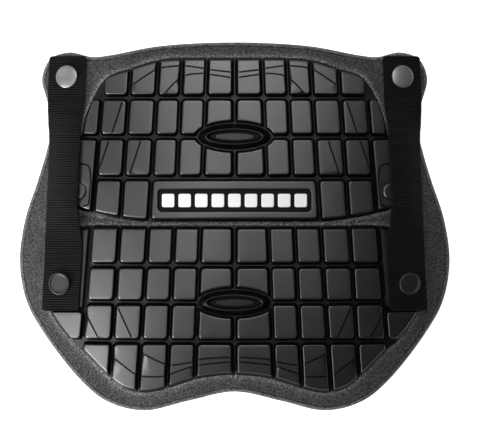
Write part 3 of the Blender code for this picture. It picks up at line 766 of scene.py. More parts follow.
def webbing_finish(look):
    """Black webbing: yarns across each rib and a little fuzz, with painted shade in the valleys
    between the ribs and painted light on their crests.
    """
    paint = Paint("webbing")
    across, rib = paint.kept("across"), paint.kept("rib")
    yarn = paint.sine(across * (2 * math.pi / look.yarn_pitch)) * 0.5 + 0.5
    fuzz = paint.noise(2400.0, 3.0, 0.7, 1.0)
    worn = paint.noise(130.0, 2.0, 0.5)
    # painted shade in the valleys between the ribs, painted light on their crests
    share = rib * (0.35 + 0.5 * fuzz + 0.4 * worn)
    colour = paint.tint(share, [c * 0.05 for c in look.colour], [c * 3.4 for c in look.colour])
    relief = paint.bump(yarn * 0.7 + fuzz * 0.5, 0.00012, 0.8)
    return paint.finish(
        Base_Color=colour, Roughness=0.80, Normal=relief, Specular_IOR_Level=0.08,
        Sheen_Weight=0.015, Sheen_Roughness=0.4,
    )


def inlay_finish():
    """White satin plastic with a faint grain."""
    paint = Paint("inlay")
    cloud = paint.noise(240.0, 3.0, 0.55)
    colour = paint.tint(cloud, (0.84, 0.84, 0.83), (0.92, 0.92, 0.91))
    relief = paint.bump(paint.noise(2200.0, 2.0, 0.6), 0.00003, 0.5)
    return paint.finish(Base_Color=colour, Roughness=0.34 + 0.12 * cloud, Normal=relief)


def metal_finish(name, colour, roughness, metallic):
    """Satin metal with fine turning marks and light handling wear."""
    paint = Paint(name)
    ring = paint.sine(paint.kept("radius") * (2 * math.pi / TURNING_PITCH)) * 0.5 + 0.5
    scuff = paint.noise(700.0, 4.0, 0.65, 1.5, (1.0, 3.0, 1.0))
    cloud = paint.noise(150.0, 2.0, 0.5)
    shade = paint.tint(cloud, [c * 0.82 for c in colour], [c * 1.12 for c in colour])
    relief = paint.bump(ring * 0.5 + scuff * 0.5, 0.000012, 0.7)
    rough = roughness - 0.05 + 0.12 * scuff + 0.04 * ring
    return paint.finish(Base_Color=shade, Roughness=rough, Metallic=metallic, Normal=relief)


def floor_finish(look):
    """A pale studio floor that glows a little, so it stays white in the picture."""
    paint = Paint("studio_floor")
    cloud = paint.noise(3.0, 2.0, 0.5)
    colour = paint.tint(cloud, (0.80, 0.80, 0.80), (0.83, 0.83, 0.83))
    return paint.finish(
        Base_Color=colour, Roughness=0.9, Specular_IOR_Level=0.1,
        Emission_Color=(1.0, 1.0, 1.0, 1.0), Emission_Strength=look.floor_glow,
    )


def groove_at(index, y):
    """x of the middle of an upright groove at a height on the plate."""
    stations = [v * HALF_HEIGHT for v in GROOVE_HEIGHTS]
    shares = GROOVES[index]
    pair = 0 if y > stations[1] else 1
    part = (y - stations[pair]) / (stations[pair + 1] - stations[pair])
    return (shares[pair] + (shares[pair + 1] - shares[pair]) * part) * HALF_WIDTH


def leaned(point, below):
    """A plan point followed down the dome's normal by a height."""
    x, y = point
    return (x - LEAN * below * x / DOME_WIDE_RADIUS, y - LEAN * below * y / DOME_TALL_RADIUS)


def edge_loop(outline, draft, level):
    """The side that the plate's edge gives its tiles at a level; it follows the dome's normal."""
    loop = inset(outline, PLATE_RIM + OUTER_WALL_SHARE * draft)
    return [leaned(point, FLOOR_HEIGHT - level) for point in loop]


def groove_side(index, top, bottom, outward, below=0.0):
    """The side that an upright groove gives a tile, at a height below the tile's top."""
    start = leaned((groove_at(index, top), top), below)
    end = leaned((groove_at(index, bottom), bottom), below)
    run = Vector(start) - Vector(end)
    return start, (run.y * outward, -run.x * outward)


def level_side(v, upward, below=0.0):
    """The side that a level groove gives a tile."""
    return leaned((0.0, v * HALF_HEIGHT), below), (0.0, upward)


class Tile:
    """A raised tile between its neighbouring grooves, on the right half of a plate."""

    def __init__(self, inner, outer, above=None, below=None, oval_at=None, height=TILE_HEIGHT):
        self.inner, self.outer, self.above, self.below = inner, outer, above, below
        self.oval_at = oval_at
        self.upward = 1.0 if oval_at is not None and above != oval_at else -1.0
        self.height = height

    def sides(self, drop):
        """The tile's straight sides at a height below its top."""
        top = (self.above if self.above is not None else GROOVE_HEIGHTS[0]) * HALF_HEIGHT
        bottom = (self.below if self.below is not None else GROOVE_HEIGHTS[2]) * HALF_HEIGHT
        found = []
        if self.inner is not None:
            found.append(groove_side(self.inner, top, bottom, 1.0, drop))
        if self.outer is not None:
            found.append(groove_side(self.outer, top, bottom, -1.0, drop))
        if self.above is not None:
            found.append(level_side(self.above, -1.0, drop))
        if self.below is not None:
            found.append(level_side(self.below, 1.0, drop))
        return found

    def loop(self, outline, draft, drop, corner):
        """The tile's plan loop for a draft past its foot and a height below its top."""
        loop = edge_loop(outline, draft, self.height - drop)
        rise = min(1.0, draft / WALL_RINGS[2][0])
        for side in self.sides(drop):
            inward = abs(side[1][0]) > abs(side[1][1]) and side[1][0] > 0 and self.inner
            spread_foot = FOOT_SPREAD * (1.0 - rise)
            thinner = INNER_WALL_CUT * rise if inward else 0.0
            margin = CHANNEL_WIDTH / 2 + draft - thinner - spread_foot
            if self.above == LEDGE_END and side[1][1] < 0:
                margin = STRAP_END_GAP + STRAP_END_DRAFT * draft
            loop = clipped(loop, side, margin)
        if self.oval_at is not None:
            half = [size - WALL_WIDTH + draft for size in OVAL_CLEAR]
            loop = cleared(loop, self.oval_at * HALF_HEIGHT, half, self.upward)
        return rounded(thinned(loop, 0.00001, 0.004), corner)

    def stands(self, outline):
        """Whether the plate leaves the tile room."""
        top = self.loop(outline, WALL_WIDTH, 0.0, TILE_CORNER)
        return len(top) > 2 and abs(plan_area(top)) > TILE_SMALLEST ** 2

    def rings(self, outline):
        """Rings of the tile from its foot to its top, with their levels."""
        return [(self.loop(outline, draft, self.height - level, corner), level)
                for draft, level, corner in wall_rings(self.height)]


def wall_rings(height):
    """Draft past the foot, level and corner radius of each ring of a wall up to a tile's top."""
    for draft, under, corner in WALL_RINGS:
        foot = FLOOR_HEIGHT + (FOOT_FILLET if draft > 0 else 0.0)
        yield draft, foot if under is None else height - under, corner


def plate_tiles(rows, first_columns, outer):
    """Tiles of the right half of a plate between its grooves, then those at its outer edge."""
    bounds = (None,) + rows + (None,)
    tiles = []
    for row, first in enumerate(first_columns):
        for column in range(first, 5):
            by_oval = rows[1] if row in (1, 2) and column < 2 else None
            tiles.append(Tile(column, column + 1, bounds[row], bounds[row + 1], by_oval))
    return tiles + outer


def cut_loops(line, ring):
    """Loops of the fine line's two edges and of its bottom, where it lies on a tile top."""
    points = [place(shares) for shares in line]
    before = 2 * Vector(points[0]) - Vector(points[1])
    after = 2 * Vector(points[-1]) - Vector(points[-2])
    control = [tuple(before), *points, tuple(after)]
    dense = []
    for i in range(1, len(control) - 2):
        steps = max(1, math.ceil(math.dist(control[i], control[i + 1]) / CUT_STEP))
        dense += curve_span(*control[i - 1:i + 3], steps)
    dense.append(points[-1])
    keep = within(dense, ring) & (distance_to(dense, ring) > CUT_MARGIN * CUT_WIDTH)
    kept = [point for point, is_kept in zip(dense, keep) if is_kept]
    if len(kept) < 6:
        return []
    kept = kept[::3] + ([kept[-1]] if (len(kept) - 1) % 3 else [])
    loops = []
    for half, level in ((CUT_WIDTH / 2, 0.0), (CUT_WIDTH / 2 * CUT_FLOOR_SHARE, -CUT_DEPTH)):
        left, right = [], []
        for i, point in enumerate(kept):
            run = Vector(kept[min(i + 1, len(kept) - 1)]) - Vector(kept[max(i - 1, 0)])
            normal = run.normalized().orthogonal() * half
            end = (i == 0) - (i == len(kept) - 1)
            here = Vector(point) - run.normalized() * half * end
            left.append(tuple(here + normal))
            right.append(tuple(here - normal))
        loops.append((left + right[::-1], level))
    return loops


def add_tiles(face, outline, tiles, cuts):
    """Adds the tiles of both halves, with the fine lines on their tops."""
    for tile in tiles:
        if not tile.stands(outline):
            continue
        rings = tile.rings(outline)
        lines = [cut for line in cuts for cut in cut_loops(line, rings[-2][0])]
        if lines:
            rings = rings[:-1]
        top = rings[-1][0]
        spots = spread(top, TOP_STEP, 0.35 * TOP_STEP)
        for loop, _ in lines[::2]:
            near = distance_to(spots, loop) < CUT_CLEAR if spots else []
            spots = [spot for spot, close in zip(spots, near) if not close]
        if tile.outer is None and tile.above == UPPER_ROWS[1]:
            spots = [p for p in spots if math.dist(p, place(KNOB_PLACE)) > KNOB_CLEAR]
        for turn in (False, True):
            for loop, level in rings:
                face.ring(mirrored(loop) if turn else loop, level)
            for loop, level in lines:
                face.ring(mirrored(loop) if turn else loop, tile.height + level)
            face.spots([(-x, y) for x, y in spots] if turn else spots, tile.height)


def add_oval(face, v):
    """Adds an oval boss: foot, rounded crest and a well with plain fine ribs."""
    middle = (0.0, v * HALF_HEIGHT)
    foot, crest, well = OVAL_SIZES
    for share, level in OVAL_FORM:
        low, high = (foot, crest) if share <= 1 else (crest, well)
        part = share if share <= 1 else share - 1
        half = [a + (b - a) * part for a, b in zip(low, high)]
        face.ring(oval(middle, half, OVAL_SIDES), level)
    for k in range(-OVAL_RIBS, OVAL_RIBS + 1):
        x = k * OVAL_RIB_PITCH
        reach = OVAL_RIB_FIELD[1] * math.sqrt(1 - (x / OVAL_RIB_FIELD[0]) ** 2)
        for grow, level in ((OVAL_RIB_FLARE, OVAL_WELL), (0.0, OVAL_RIB_TOP)):
            face.ring(corner_loop((x, middle[1]), (OVAL_RIB_HALF + grow, reach + grow)), level)


def recess_half():
    """Half sizes of the recess at its mouth."""
    tile_end = groove_at(3, RECESS_PLACE * HALF_HEIGHT) - CHANNEL_WIDTH / 2 - WALL_WIDTH
    return (tile_end - RECESS_SIDE, RECESS_HALF_HEIGHT)


def add_bar_tile(face, outline):
    """Adds the wide tile with its recess."""
    top, bottom = UPPER_ROWS[2] * HALF_HEIGHT, UPPER_OUTLINE[-1][1] * HALF_HEIGHT
    for draft, level, corner in wall_rings(TILE_HEIGHT):
        drop = TILE_HEIGHT - level
        point, normal = groove_side(3, top, bottom, -1.0, drop)
        left = (-point[0], point[1]), (-normal[0], normal[1])
        loop = edge_loop(outline, draft, level)
        for side in ((point, normal), left, level_side(UPPER_ROWS[2], -1.0, drop)):
            loop = clipped(loop, side, CHANNEL_WIDTH / 2 + draft)
        loop = divided(rounded(thinned(loop, 0.00001), corner), RECESS_STEP)
        face.ring(loop, level)
    middle, half = (0.0, RECESS_PLACE * HALF_HEIGHT), recess_half()
    rings = []
    for grow, level, corner in RECESS_FORM:
        sizes = (half[0] + grow, half[1] + grow)
        rings.append(divided(box_loop(middle, sizes, corner), RECESS_STEP))
        face.ring(rings[-1], TILE_HEIGHT + level)
    face.spots(spread(rings[-1], *RECESS_SPOTS), TILE_HEIGHT - RECESS_DEPTH)
    spots = spread(loop, *BAR_TILE_SPOTS)
    clear = ~within(spots, rings[0]) & (distance_to(spots, rings[0]) > BAR_TILE_SPOTS[1])
    face.spots([spot for spot, is_clear in zip(spots, clear) if is_clear], TILE_HEIGHT)


def add_knob(face):
    """Adds the round knobs of both tall outer tiles, with a fine moat round each."""
    x, y = place(KNOB_PLACE)
    for radius, level in KNOB_FORM:
        for side in (-1, 1):
            face.ring(oval((side * x, y), (radius, radius), KNOB_SIDES), TILE_HEIGHT + level)


def scalloped(outline):
    """The plate's outline, drawn in a little where a groove runs out."""
    depth, strength, reach = SCALLOP
    drawn = []
    for (x, y), (ix, iy) in zip(outline, inset(outline, depth)):
        near = min(abs(abs(x) - groove_at(k, y)) for k in range(1, 6))
        pull = strength * math.exp(-((near / reach) ** 2))
        drawn.append((x + (ix - x) * pull, y + (iy - y) * pull))
    return drawn


def sunk_share(vertices):
    """How far each point of a plate lies under the tile tops, from 0 there to 1 at the floor."""
    x, y = vertices[:, 0], vertices[:, 1]
    top = np.full(len(vertices), TILE_HEIGHT)
    # the ovals' crests and the ledges under the straps count as a little sunk, so they get some
    # painted shade
    crests = ((OVAL_SIZES[0], OVAL_CREST + DULL_AND_SHADED_DEPTH), (OVAL_SIZES[2], OVAL_RIB_TOP))
    for v in (UPPER_ROWS[1], LOWER_ROWS[1]):
        for size, crest in crests:
            top[np.hypot(x / size[0], (y - v * HALF_HEIGHT) / size[1]) < 1.0] = crest
    on_ledge = [abs(a) > groove_at(5, b) and LEDGE_END * HALF_HEIGHT < b < 0.0
                for a, b in zip(x, y)]
    top[on_ledge] = LEDGE_HEIGHT + DULL_AND_SHADED_DEPTH
    level = vertices[:, 2] - plate_rise(x, y)
    return np.clip((top - level) / (TILE_HEIGHT - FLOOR_HEIGHT), 0.0, 1.0)


def make_plate(name, half, tiles, cuts, oval_v, finish, has_bar_tile=False):
    """One moulded plate; its finish paints shade on it by how far each point lies under the tile
    tops.
    """
    outline = smooth_outline(half)
    edge = divided(outline, PLATE_STEP)
    rim = scalloped(edge)
    bevel_width, bevel_depth = PLATE_BEVEL
    front, back = Face(plate_rise), Face(plate_rise)
    front.ring(rim, FLOOR_HEIGHT - bevel_depth)
    back.ring(rim, 0.0)
    front.ring(inset(rim, bevel_width), FLOOR_HEIGHT)
    add_tiles(front, outline, tiles, cuts)
    if has_bar_tile:
        add_bar_tile(front, outline)
    add_oval(front, oval_v)
    if has_bar_tile:
        add_knob(front)
    back.spots(spread(edge, *PLATE_BACK_SPOTS), 0.0)
    body = sheet_mesh(rim, front, back)
    numbers = {"sunk": sunk_share(body[0])}
    add_piece(name + "_moulding", body, finish, [name], numbers=numbers)


def make_upper_plate(finish):
    """The upper moulded plate, with the bar tile and the knobs."""
    tall = [Tile(5, None, UPPER_ROWS[0], UPPER_ROWS[1]), Tile(5, None, UPPER_ROWS[1], None)]
    tiles = plate_tiles(UPPER_ROWS, (0, 0, 0, 3), tall)
    make_plate("upper_plate", UPPER_OUTLINE, tiles, UPPER_CUTS, UPPER_ROWS[1], finish, True)


def make_lower_plate(finish):
    """The lower moulded plate, with the ledges for the straps."""
    ledge = Tile(5, None, None, LEDGE_END, height=LEDGE_HEIGHT)
    tiles = plate_tiles(LOWER_ROWS, (0,) * 4, [ledge, Tile(5, None, LEDGE_END, LOWER_ROWS[2])])
    make_plate("lower_plate", LOWER_OUTLINE, tiles, LOWER_CUTS, LOWER_ROWS[1], finish)


def pad_profile(depth):
    """Level of the pad's front at a distance in from its edge: a quarter round and a seam."""
    inner = np.clip(1.0 - depth / PAD_ROUND, 0.0, 1.0)
    turn = PAD_ROUND * (np.sqrt(1.0 - inner ** 2) - 1.0)
    return turn - SEAM_DEPTH * np.exp(-(((depth - SEAM_INSET) / SEAM_WIDTH) ** 2))


def eased(value, span):
    """0 before a span (its start and width), 1 after it and smooth between."""
    share = np.clip((value - span[0]) / span[1], 0.0, 1.0)
    return share * share * (3 - 2 * share)


def lip_profile(gap):
    """Rise of the felt at a distance outside a plate's edge."""
    return LIP_RISE * eased(gap, LIP_START) * (1 - eased(gap, LIP_FALL))


def cap_frames():
    """Seat point and axis of each snap cap, from the faces that the record gives."""
    found = {}
    for mount in frame["record"]["mounts"]:
        if mount["name"].startswith("snap_face_"):
            name = mount["name"][len("snap_face_"):]
            axis = Vector(mount["axis"]).normalized()
            over = SEAT_GAP + CAP_FACES[name.split("_")[0]] * CAP_HEIGHT
            found[name] = (Vector(mount["pos_m"]) - axis * over, axis)
    if len(found) != 4:
        raise RuntimeError("the record has to give the four snap faces")
    return found


def make_pad(finish, look):
    """The felt pad: rounded edge, seam line, raised lip round the plates, wells behind."""
    outline = divided(smooth_outline(PAD_OUTLINE), PAD_STEP)
    plates = [smooth_outline(half) for half in (UPPER_OUTLINE, LOWER_OUTLINE)]
    front, back = Face(front_rise), Face(back_rise)
    front.ring(outline, 0.0)
    back.ring(outline, PAD_BACK_ROUND)
    for depth in PAD_EDGE_RINGS:
        front.ring(inset(outline, depth), 0.0)
    for gap in PAD_LIP_RINGS:
        for plate in plates:
            front.ring(thinned(inset(plate, -gap), 0.00002, 0.004), 0.0)
    for depth, level in PAD_BACK_RINGS:
        back.ring(inset(outline, depth), level)
    wells = []
    for seat, axis in cap_frames().values():
        middle = seat - axis * (PAD_THICKNESS + STRAP_THICKNESS) / axis.z
        wells.append((middle.x, middle.y))
        for grow, level in WELL_FORM:
            radius = WASHER_WELL_RADIUS + grow
            back.ring(oval(wells[-1], (radius, radius), WELL_SIDES), level)
    front.spots(spread(outline, *PAD_FRONT_SPOTS), 0.0)
    back.spots([spot for spot in spread(outline, *PAD_BACK_SPOTS)
                if min(math.dist(spot, well) for well in wells) > WELL_CLEAR], 0.0)
    vertices, faces = sheet_mesh(outline, front, back)
    plan = vertices[:, :2]
    depth = distance_to(plan, outline)
    gap = np.minimum(*[np.where(within(plan, p), 0.0, distance_to(plan, p)) for p in plates])
    on_front = vertices[:, 2] > back_rise(plan[:, 0], plan[:, 1]) + PAD_THICKNESS / 2
    raised = np.where(on_front, pad_profile(depth) + lip_profile(gap), 0.0)
    vertices[:, 2] = np.maximum(vertices[:, 2] + raised, 0.0)
    seam_painted_shade_strength, seam_reach = SEAM_PAINTED_SHADE
    # painted shade in the seam line
    seam = seam_painted_shade_strength * np.exp(-(((depth - SEAM_INSET) / seam_reach) ** 2))
    numbers = {
        # painted light on the felt's lip beside the plates
        "welt": np.exp(-((gap / look.painted_lip_light_reach) ** 2)),
        # painted highlight on the rounded outer edge, less the painted shade in the seam
        "edge": np.exp(-((depth / PAINTED_EDGE_LIGHT_REACH) ** 4)) - seam,
    }
    replaced = ["foam_backing"]
    body = (vertices, faces)
    piece = add_piece("felt_pad", body, finish, replaced, 60.0, False, numbers)


def strap_row(y):
    """Outer edge, lifts of both edges over the felt and the crown of a strap at a height."""
    rows = [(v * HALF_HEIGHT, *rest) for v, *rest in STRAP_SECTIONS]
    pair = 0
    while pair < len(rows) - 2 and y < rows[pair + 1][0]:
        pair += 1
    start, end = rows[pair], rows[pair + 1]
    part = max(0.0, min(1.0, (y - start[0]) / (end[0] - start[0])))
    part = part * part * (3 - 2 * part)
    edge, outer, inner, ledge = (a + (b - a) * part for a, b in zip(start[1:], end[1:]))
    tile_top = SEAT_GAP + TILE_HEIGHT
    base = SEAT_GAP + ledge * (SEAT_GAP + LEDGE_HEIGHT)
    bow = STRAP_BOW * max(0.0, inner - outer) * tile_top
    return edge * HALF_WIDTH, base + outer * tile_top, base + inner * tile_top, bow


def strap_lift(row, across):
    """Lift over the felt at a share of the way from the outer to the inner edge."""
    _, outer, inner, bow = row
    return outer + (inner - outer) * across + bow * 4 * across * (1 - across)


def strap_span(y, row):
    """Plan width of a strap at a height, so that its width along the curve is the real one."""
    span = STRAP_WIDTH
    shares = np.linspace(0.0, 1.0, 9)
    for _ in range(12):
        x = row[0] - span * shares
        z = front_rise(x, y) + strap_lift(row, shares)
        span *= STRAP_WIDTH / float(np.hypot(np.diff(x), np.diff(z)).sum())
    return span


def make_strap(side, finish):
    """One strap of ribbed webbing, laid from the ear over the plates to the wing."""
    top, bottom = (STRAP_SECTIONS[k][0] * HALF_HEIGHT for k in (0, -1))
    ribs = round((top - bottom) / RIB_PITCH)
    rows = ribs * RIB_ROWS
    edge = SELVEDGE / STRAP_WIDTH
    inner = np.linspace(edge, 1 - edge, STRAP_COLUMNS - 3)
    second = edge * SELVEDGE_STEP
    shares = np.concatenate(([0.0, second], inner, [1 - second, 1.0]))
    swell = np.ones(len(shares))
    swell[[0, -1]], swell[[1, -2]] = SELVEDGE_SWELL
    columns = len(shares)
    vertices, across, crest = [], [], []
    length, last = 0.0, None
    for k in range(rows + 1):
        y = top + (bottom - top) * k / rows
        row = strap_row(y)
        span = strap_span(y, row)
        nearest = min(k, rows - k) / rows * (top - bottom)
        cut = 0.0
        if nearest < STRAP_CORNER:
            cut = STRAP_CORNER - math.sqrt(STRAP_CORNER ** 2 - (STRAP_CORNER - nearest) ** 2)
        x = row[0] - cut - (span - 2 * cut) * shares
        true_share = (row[0] - x) / span
        z = front_rise(x, y) + strap_lift(row, true_share)
        rib = abs(math.sin(math.pi * k / RIB_ROWS)) ** RIB_SHAPE
        thickness = STRAP_THICKNESS - RIB_DEPTH * (1 - rib)
        for level in (STRAP_THICKNESS / 2 + (thickness - STRAP_THICKNESS / 2) * swell,
                      STRAP_THICKNESS / 2 * (1 - swell)):
            for j in range(columns):
                vertices.append((side * x[j], y, z[j] + level[j]))
                across.append(true_share[j] * STRAP_WIDTH)
                crest.append(rib)
        here = Vector((float(x[columns // 2]), y, float(z[columns // 2])))
        length += (here - last).length if last is not None else 0.0
        last = here
    faces = []
    wide = 2 * columns
    for k in range(rows):
        a, b = k * wide, (k + 1) * wide
        for j in range(columns - 1):
            faces.append((a + j, a + j + 1, b + j + 1, b + j))
            c, d = a + columns + j, b + columns + j
            faces.append((c, d, d + 1, c + 1))
        for j in (0, columns - 1):
            faces.append((a + j, b + j, b + columns + j, a + columns + j))
    for start in (0, rows * wide):
        for j in range(columns - 1):
            faces.append((start + j, start + columns + j, start + columns + j + 1, start + j + 1))
    name = "left" if side < 0 else "right"
    # the rib number also paints shade into the webbing's valleys and light onto its crests
    body, numbers = (vertices, faces), {"across": across, "rib": crest}
    replaced = ["strap_" + name]
    piece = add_piece("webbing_" + name, body, finish, replaced, 70.0, False, numbers)


def make_cap(name, seat, axis, finish):
    """One turned snap cap."""
    first = Vector((0.0, 1.0, 0.0)).cross(axis).normalized()
    second = axis.cross(first)
    vertices, faces, radii = [], [], []
    form = CAP_FORMS[name.split("_")[0]]
    for radius, height in form:
        middle = seat + axis * (SEAT_GAP + height * CAP_HEIGHT)
        for k in range(CAP_SIDES):
            angle = 2 * math.pi * k / CAP_SIDES
            out = first * math.cos(angle) + second * math.sin(angle)
            vertices.append(middle + out * radius * CAP_RADIUS)
            radii.append(radius * CAP_RADIUS)
    for i in range(len(form) - 1):
        for k in range(CAP_SIDES):
            a, b = i * CAP_SIDES + k, i * CAP_SIDES + (k + 1) % CAP_SIDES
            faces.append((a, b, b + CAP_SIDES, a + CAP_SIDES))
    for start, height in ((0, 0.0), ((len(form) - 1) * CAP_SIDES, form[-1][1])):
        last = len(vertices)
        vertices.append(seat + axis * (SEAT_GAP + height * CAP_HEIGHT))
        radii.append(0.0)
        faces += [(start + k, start + (k + 1) % CAP_SIDES, last) for k in range(CAP_SIDES)]
    body, numbers = (vertices, faces), {"radius": radii}
    add_piece("cap_" + name, body, finish, ["snap_cap_" + name], 60.0, False, numbers)


def make_bar(index, finish):
    """One plain bar of the row in the recess."""
    half = recess_half()
    floor = (half[0] - RECESS_DRAFT, half[1] - RECESS_DRAFT)
    row_half, bar_half = (size - margin for size, margin in zip(floor, BAR_MARGIN))
    pitch = (2 * row_half + BAR_SPACE) / BAR_COUNT
    middle = ((index - (BAR_COUNT - 1) / 2) * pitch, RECESS_PLACE * HALF_HEIGHT)
    sizes = ((pitch - BAR_SPACE) / 2, bar_half)
    low = TILE_HEIGHT - RECESS_DEPTH + SEAT_GAP
    front, back = Face(plate_rise), Face(plate_rise)
    outline = box_loop(middle, sizes, BAR_CORNER)
    back.ring(outline, low)
    for depth, under in BAR_FORM:
        grown = (sizes[0] - depth, sizes[1] - depth)
        front.ring(box_loop(middle, grown, BAR_CORNER - depth), low + BAR_HEIGHT - under)
    body, number = sheet_mesh(outline, front, back), index + 1
    add_piece(f"bar_{number}", body, finish, [f"badge_bar_{number}"], 60.0)


def add_soft_box(name, toward, power):
    """A soft square light in a direction from the object, facing it."""
    data = bpy.data.lights.new(name, "AREA")
    data.shape = "RECTANGLE"
    data.size = data.size_y = BOX_SIZE
    data.energy = power
    light = bpy.data.objects.new(name, data)
    bpy.context.scene.collection.objects.link(light)
    aim = Vector(LIGHTS_AIM)
    light.location = aim + Vector(toward).normalized() * BOX_DISTANCE
    light.rotation_mode = "QUATERNION"
    light.rotation_quaternion = (light.location - aim).to_track_quat("Z", "Y")
    light.visible_camera = False
    light.visible_glossy = name not in MATT_ONLY


def add_floor(look):
    """The round studio floor."""
    turns = [2 * math.pi * k / FLOOR_SIDES for k in range(FLOOR_SIDES)]
    corners = [(FLOOR_REACH * math.cos(a), FLOOR_REACH * math.sin(a), -FLOOR_DROP) for a in turns]
    mesh = bpy.data.meshes.new("studio_floor")
    mesh.from_pydata(corners, [], [tuple(range(FLOOR_SIDES))])
    mesh.materials.append(floor_finish(look))
    floor = bpy.data.objects.new("studio_floor", mesh)
    bpy.context.scene.collection.objects.link(floor)


def add_camera(look):
    """The camera over the object, as far off as its lens needs."""
    data = bpy.data.cameras.new("camera")
    data.lens = look.lens
    data.sensor_width = SENSOR_WIDTH
    data.clip_end = 100.0
    camera = bpy.data.objects.new("camera", data)
    bpy.context.scene.collection.objects.link(camera)
    distance = PICTURE_WIDTH * look.lens / SENSOR_WIDTH
    camera.location = (*CAMERA_PLACE, distance + CAMERA_FOCUS_HEIGHT)
    bpy.context.scene.camera = camera


class FeltLook(bpy.types.PropertyGroup):
    """Look of the felt pad"""

    colour: FloatVectorProperty(
        name="Felt", description="Mean colour of the felt", subtype="COLOR",
        default=(0.046, 0.0465, 0.048), min=0.0, max=1.0,
    )
    # painted light on the lip beside the plates: its strength and its width
    painted_lip_light_strength: FloatProperty(
        name="Pale lip", description="How much paler the felt is next to the plates", default=3.2,
    )
    painted_lip_light_reach: FloatProperty(
        name="Lip reach", description="Width of the pale felt next to the plates",
        default=0.0019, unit="LENGTH",
    )
    # painted highlight on the felt's rounded outer edge
    painted_edge_light: FloatProperty(
        name="Pale edge", description="How much paler the felt is at its rounded edge",
        default=0.9,
    )


class PlateLook(bpy.types.PropertyGroup):
    """Look of the moulded plates"""

    colour: FloatVectorProperty(
        name="Rubber", description="Colour of the moulded plates", subtype="COLOR",
        default=(0.0055, 0.0055, 0.0058), min=0.0, max=1.0,
    )
    roughness: FloatProperty(
        name="Roughness", description="How satin the plates are", default=0.32, min=0.0, max=1.0,
    )
    # painted shade on the groove floors: how glossy and how bright they are beside the tile tops
    groove_gloss_and_painted_shade: FloatProperty(
        name="Groove gloss",
        description="How satin the floors of the grooves are next to the tile tops",
        default=0.20, min=0.0, max=1.0,
    )


class WebbingLook(bpy.types.PropertyGroup):
    """Look of the webbing"""

    colour: FloatVectorProperty(
        name="Webbing", description="Colour of the straps", subtype="COLOR",
        default=(0.0038, 0.0038, 0.0038), min=0.0, max=1.0,
    )
    yarn_pitch: FloatProperty(
        name="Yarn pitch", description="Distance between two yarns of a rib",
        default=0.0009, unit="LENGTH",
    )


class MetalLook(bpy.types.PropertyGroup):
    """Look of the snaps"""

    silver: FloatVectorProperty(
        name="Upper caps", description="Colour of the upper caps", subtype="COLOR",
        default=(0.30, 0.30, 0.295), min=0.0, max=1.0,
    )
    dark: FloatVectorProperty(
        name="Lower caps", description="Colour of the lower caps", subtype="COLOR",
        default=(0.026, 0.026, 0.027), min=0.0, max=1.0,
    )


class StageLook(bpy.types.PropertyGroup):
    """Light, floor and camera"""

    side_light: FloatProperty(
        name="Side light", description="Strength of the soft boxes at the left",
        default=1.0, min=0.0,
    )
    collar_light: FloatProperty(
        name="Collar light", description="Strength of the soft boxes over the collar",
        default=1.0, min=0.0,
    )
    floor_glow: FloatProperty(
        name="Floor glow", description="Own light of the floor", default=0.92, min=0.0,
    )
    lens: FloatProperty(
        name="Lens", description="Focal length of the camera in millimetres", default=400.0,
    )


class PROTECTOR_OT_pad(bpy.types.Operator):
    """Builds the felt pad"""

    bl_idname = "protector.pad"
    bl_label = "Felt pad"

    def execute(self, context):
        look = context.scene.protector_felt
        make_pad(felt_finish(look), look)
        return {"FINISHED"}


class PROTECTOR_OT_plates(bpy.types.Operator):
    """Builds the two moulded plates"""

    bl_idname = "protector.plates"
    bl_label = "Moulded plates"

    def execute(self, context):
        finish = plate_finish(context.scene.protector_plate)
        make_upper_plate(finish)
        make_lower_plate(finish)
        return {"FINISHED"}


class PROTECTOR_OT_bars(bpy.types.Operator):
    """Builds the row of plain bars"""

    bl_idname = "protector.bars"
    bl_label = "Bars"

    def execute(self, context):
        finish = inlay_finish()
        for index in range(BAR_COUNT):
            make_bar(index, finish)
        return {"FINISHED"}


class PROTECTOR_OT_straps(bpy.types.Operator):
    """Builds the two webbing straps"""

    bl_idname = "protector.straps"
    bl_label = "Webbing straps"

    def execute(self, context):
        finish = webbing_finish(context.scene.protector_webbing)
        for side in (-1, 1):
            make_strap(side, finish)
        return {"FINISHED"}


class PROTECTOR_OT_snaps(bpy.types.Operator):
    """Builds the snap caps and finishes the hidden posts"""

    bl_idname = "protector.snaps"
    bl_label = "Snaps"

    def execute(self, context):
        look = context.scene.protector_metal
        silver = metal_finish("silver_caps", look.silver, roughness=0.34, metallic=0.75)
        dark = metal_finish("dark_caps", look.dark, roughness=0.38, metallic=0.45)
        for name, (seat, axis) in cap_frames().items():
            if name.startswith("upper"):
                make_cap(name, seat, axis, silver)
            else:
                make_cap(name, seat, axis, dark)
            for holder in frame["nodes"]["snap_post_" + name].material_slots:
                holder.material = dark
        return {"FINISHED"}


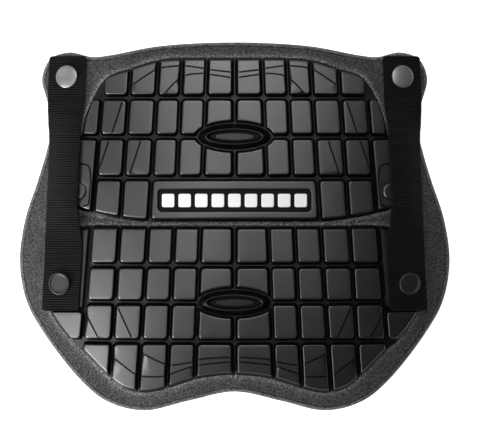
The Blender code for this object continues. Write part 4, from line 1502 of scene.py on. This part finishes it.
class PROTECTOR_OT_stage(bpy.types.Operator):
    """Sets the floor, the lights and the camera"""

    bl_idname = "protector.stage"
    bl_label = "Stage"

    def execute(self, context):
        look = context.scene.protector_stage
        add_floor(look)
        for name, toward, power in SOFT_BOXES:
            strength = look.side_light if name.startswith("side") else look.collar_light
            add_soft_box(name, toward, power * strength)
        world = bpy.data.worlds.new("studio")
        context.scene.world = world
        world.use_nodes = True
        world.node_tree.nodes["Background"].inputs["Color"].default_value = WORLD_GREY
        add_camera(look)
        context.scene.view_settings.view_transform = "Standard"
        return {"FINISHED"}


class PROTECTOR_PT_panel(bpy.types.Panel):
    """Lists the steps and their settings"""

    bl_label = "Chest Protector"
    bl_space_type = "VIEW_3D"
    bl_region_type = "UI"
    bl_category = "Protector"

    def draw(self, context):
        scene = context.scene
        for group in (
            scene.protector_felt, scene.protector_plate, scene.protector_webbing,
            scene.protector_metal, scene.protector_stage,
        ):
            box = self.layout.box()
            for key in group.__annotations__:
                box.prop(group, key)
        for operator in OPERATORS:
            self.layout.operator(operator.bl_idname)


OPERATORS = (
    PROTECTOR_OT_pad, PROTECTOR_OT_plates, PROTECTOR_OT_bars, PROTECTOR_OT_straps,
    PROTECTOR_OT_snaps, PROTECTOR_OT_stage,
)
LOOKS = {
    "protector_felt": FeltLook,
    "protector_plate": PlateLook,
    "protector_webbing": WebbingLook,
    "protector_metal": MetalLook,
    "protector_stage": StageLook,
}


def register():
    """Registers the classes and their settings."""
    for kind in (*LOOKS.values(), *OPERATORS, PROTECTOR_PT_panel):
        bpy.utils.register_class(kind)
    for name, kind in LOOKS.items():
        setattr(bpy.types.Scene, name, PointerProperty(type=kind))


def unregister():
    """Takes the settings and classes away again."""
    for name in LOOKS:
        delattr(bpy.types.Scene, name)
    for kind in reversed((*LOOKS.values(), *OPERATORS, PROTECTOR_PT_panel)):
        bpy.utils.unregister_class(kind)


def main():
    """Builds every piece in order."""
    register()
    for operator in OPERATORS:
        group, name = operator.bl_idname.split(".")
        getattr(getattr(bpy.ops, group), name)()


if __name__ == "__main__":
    main()
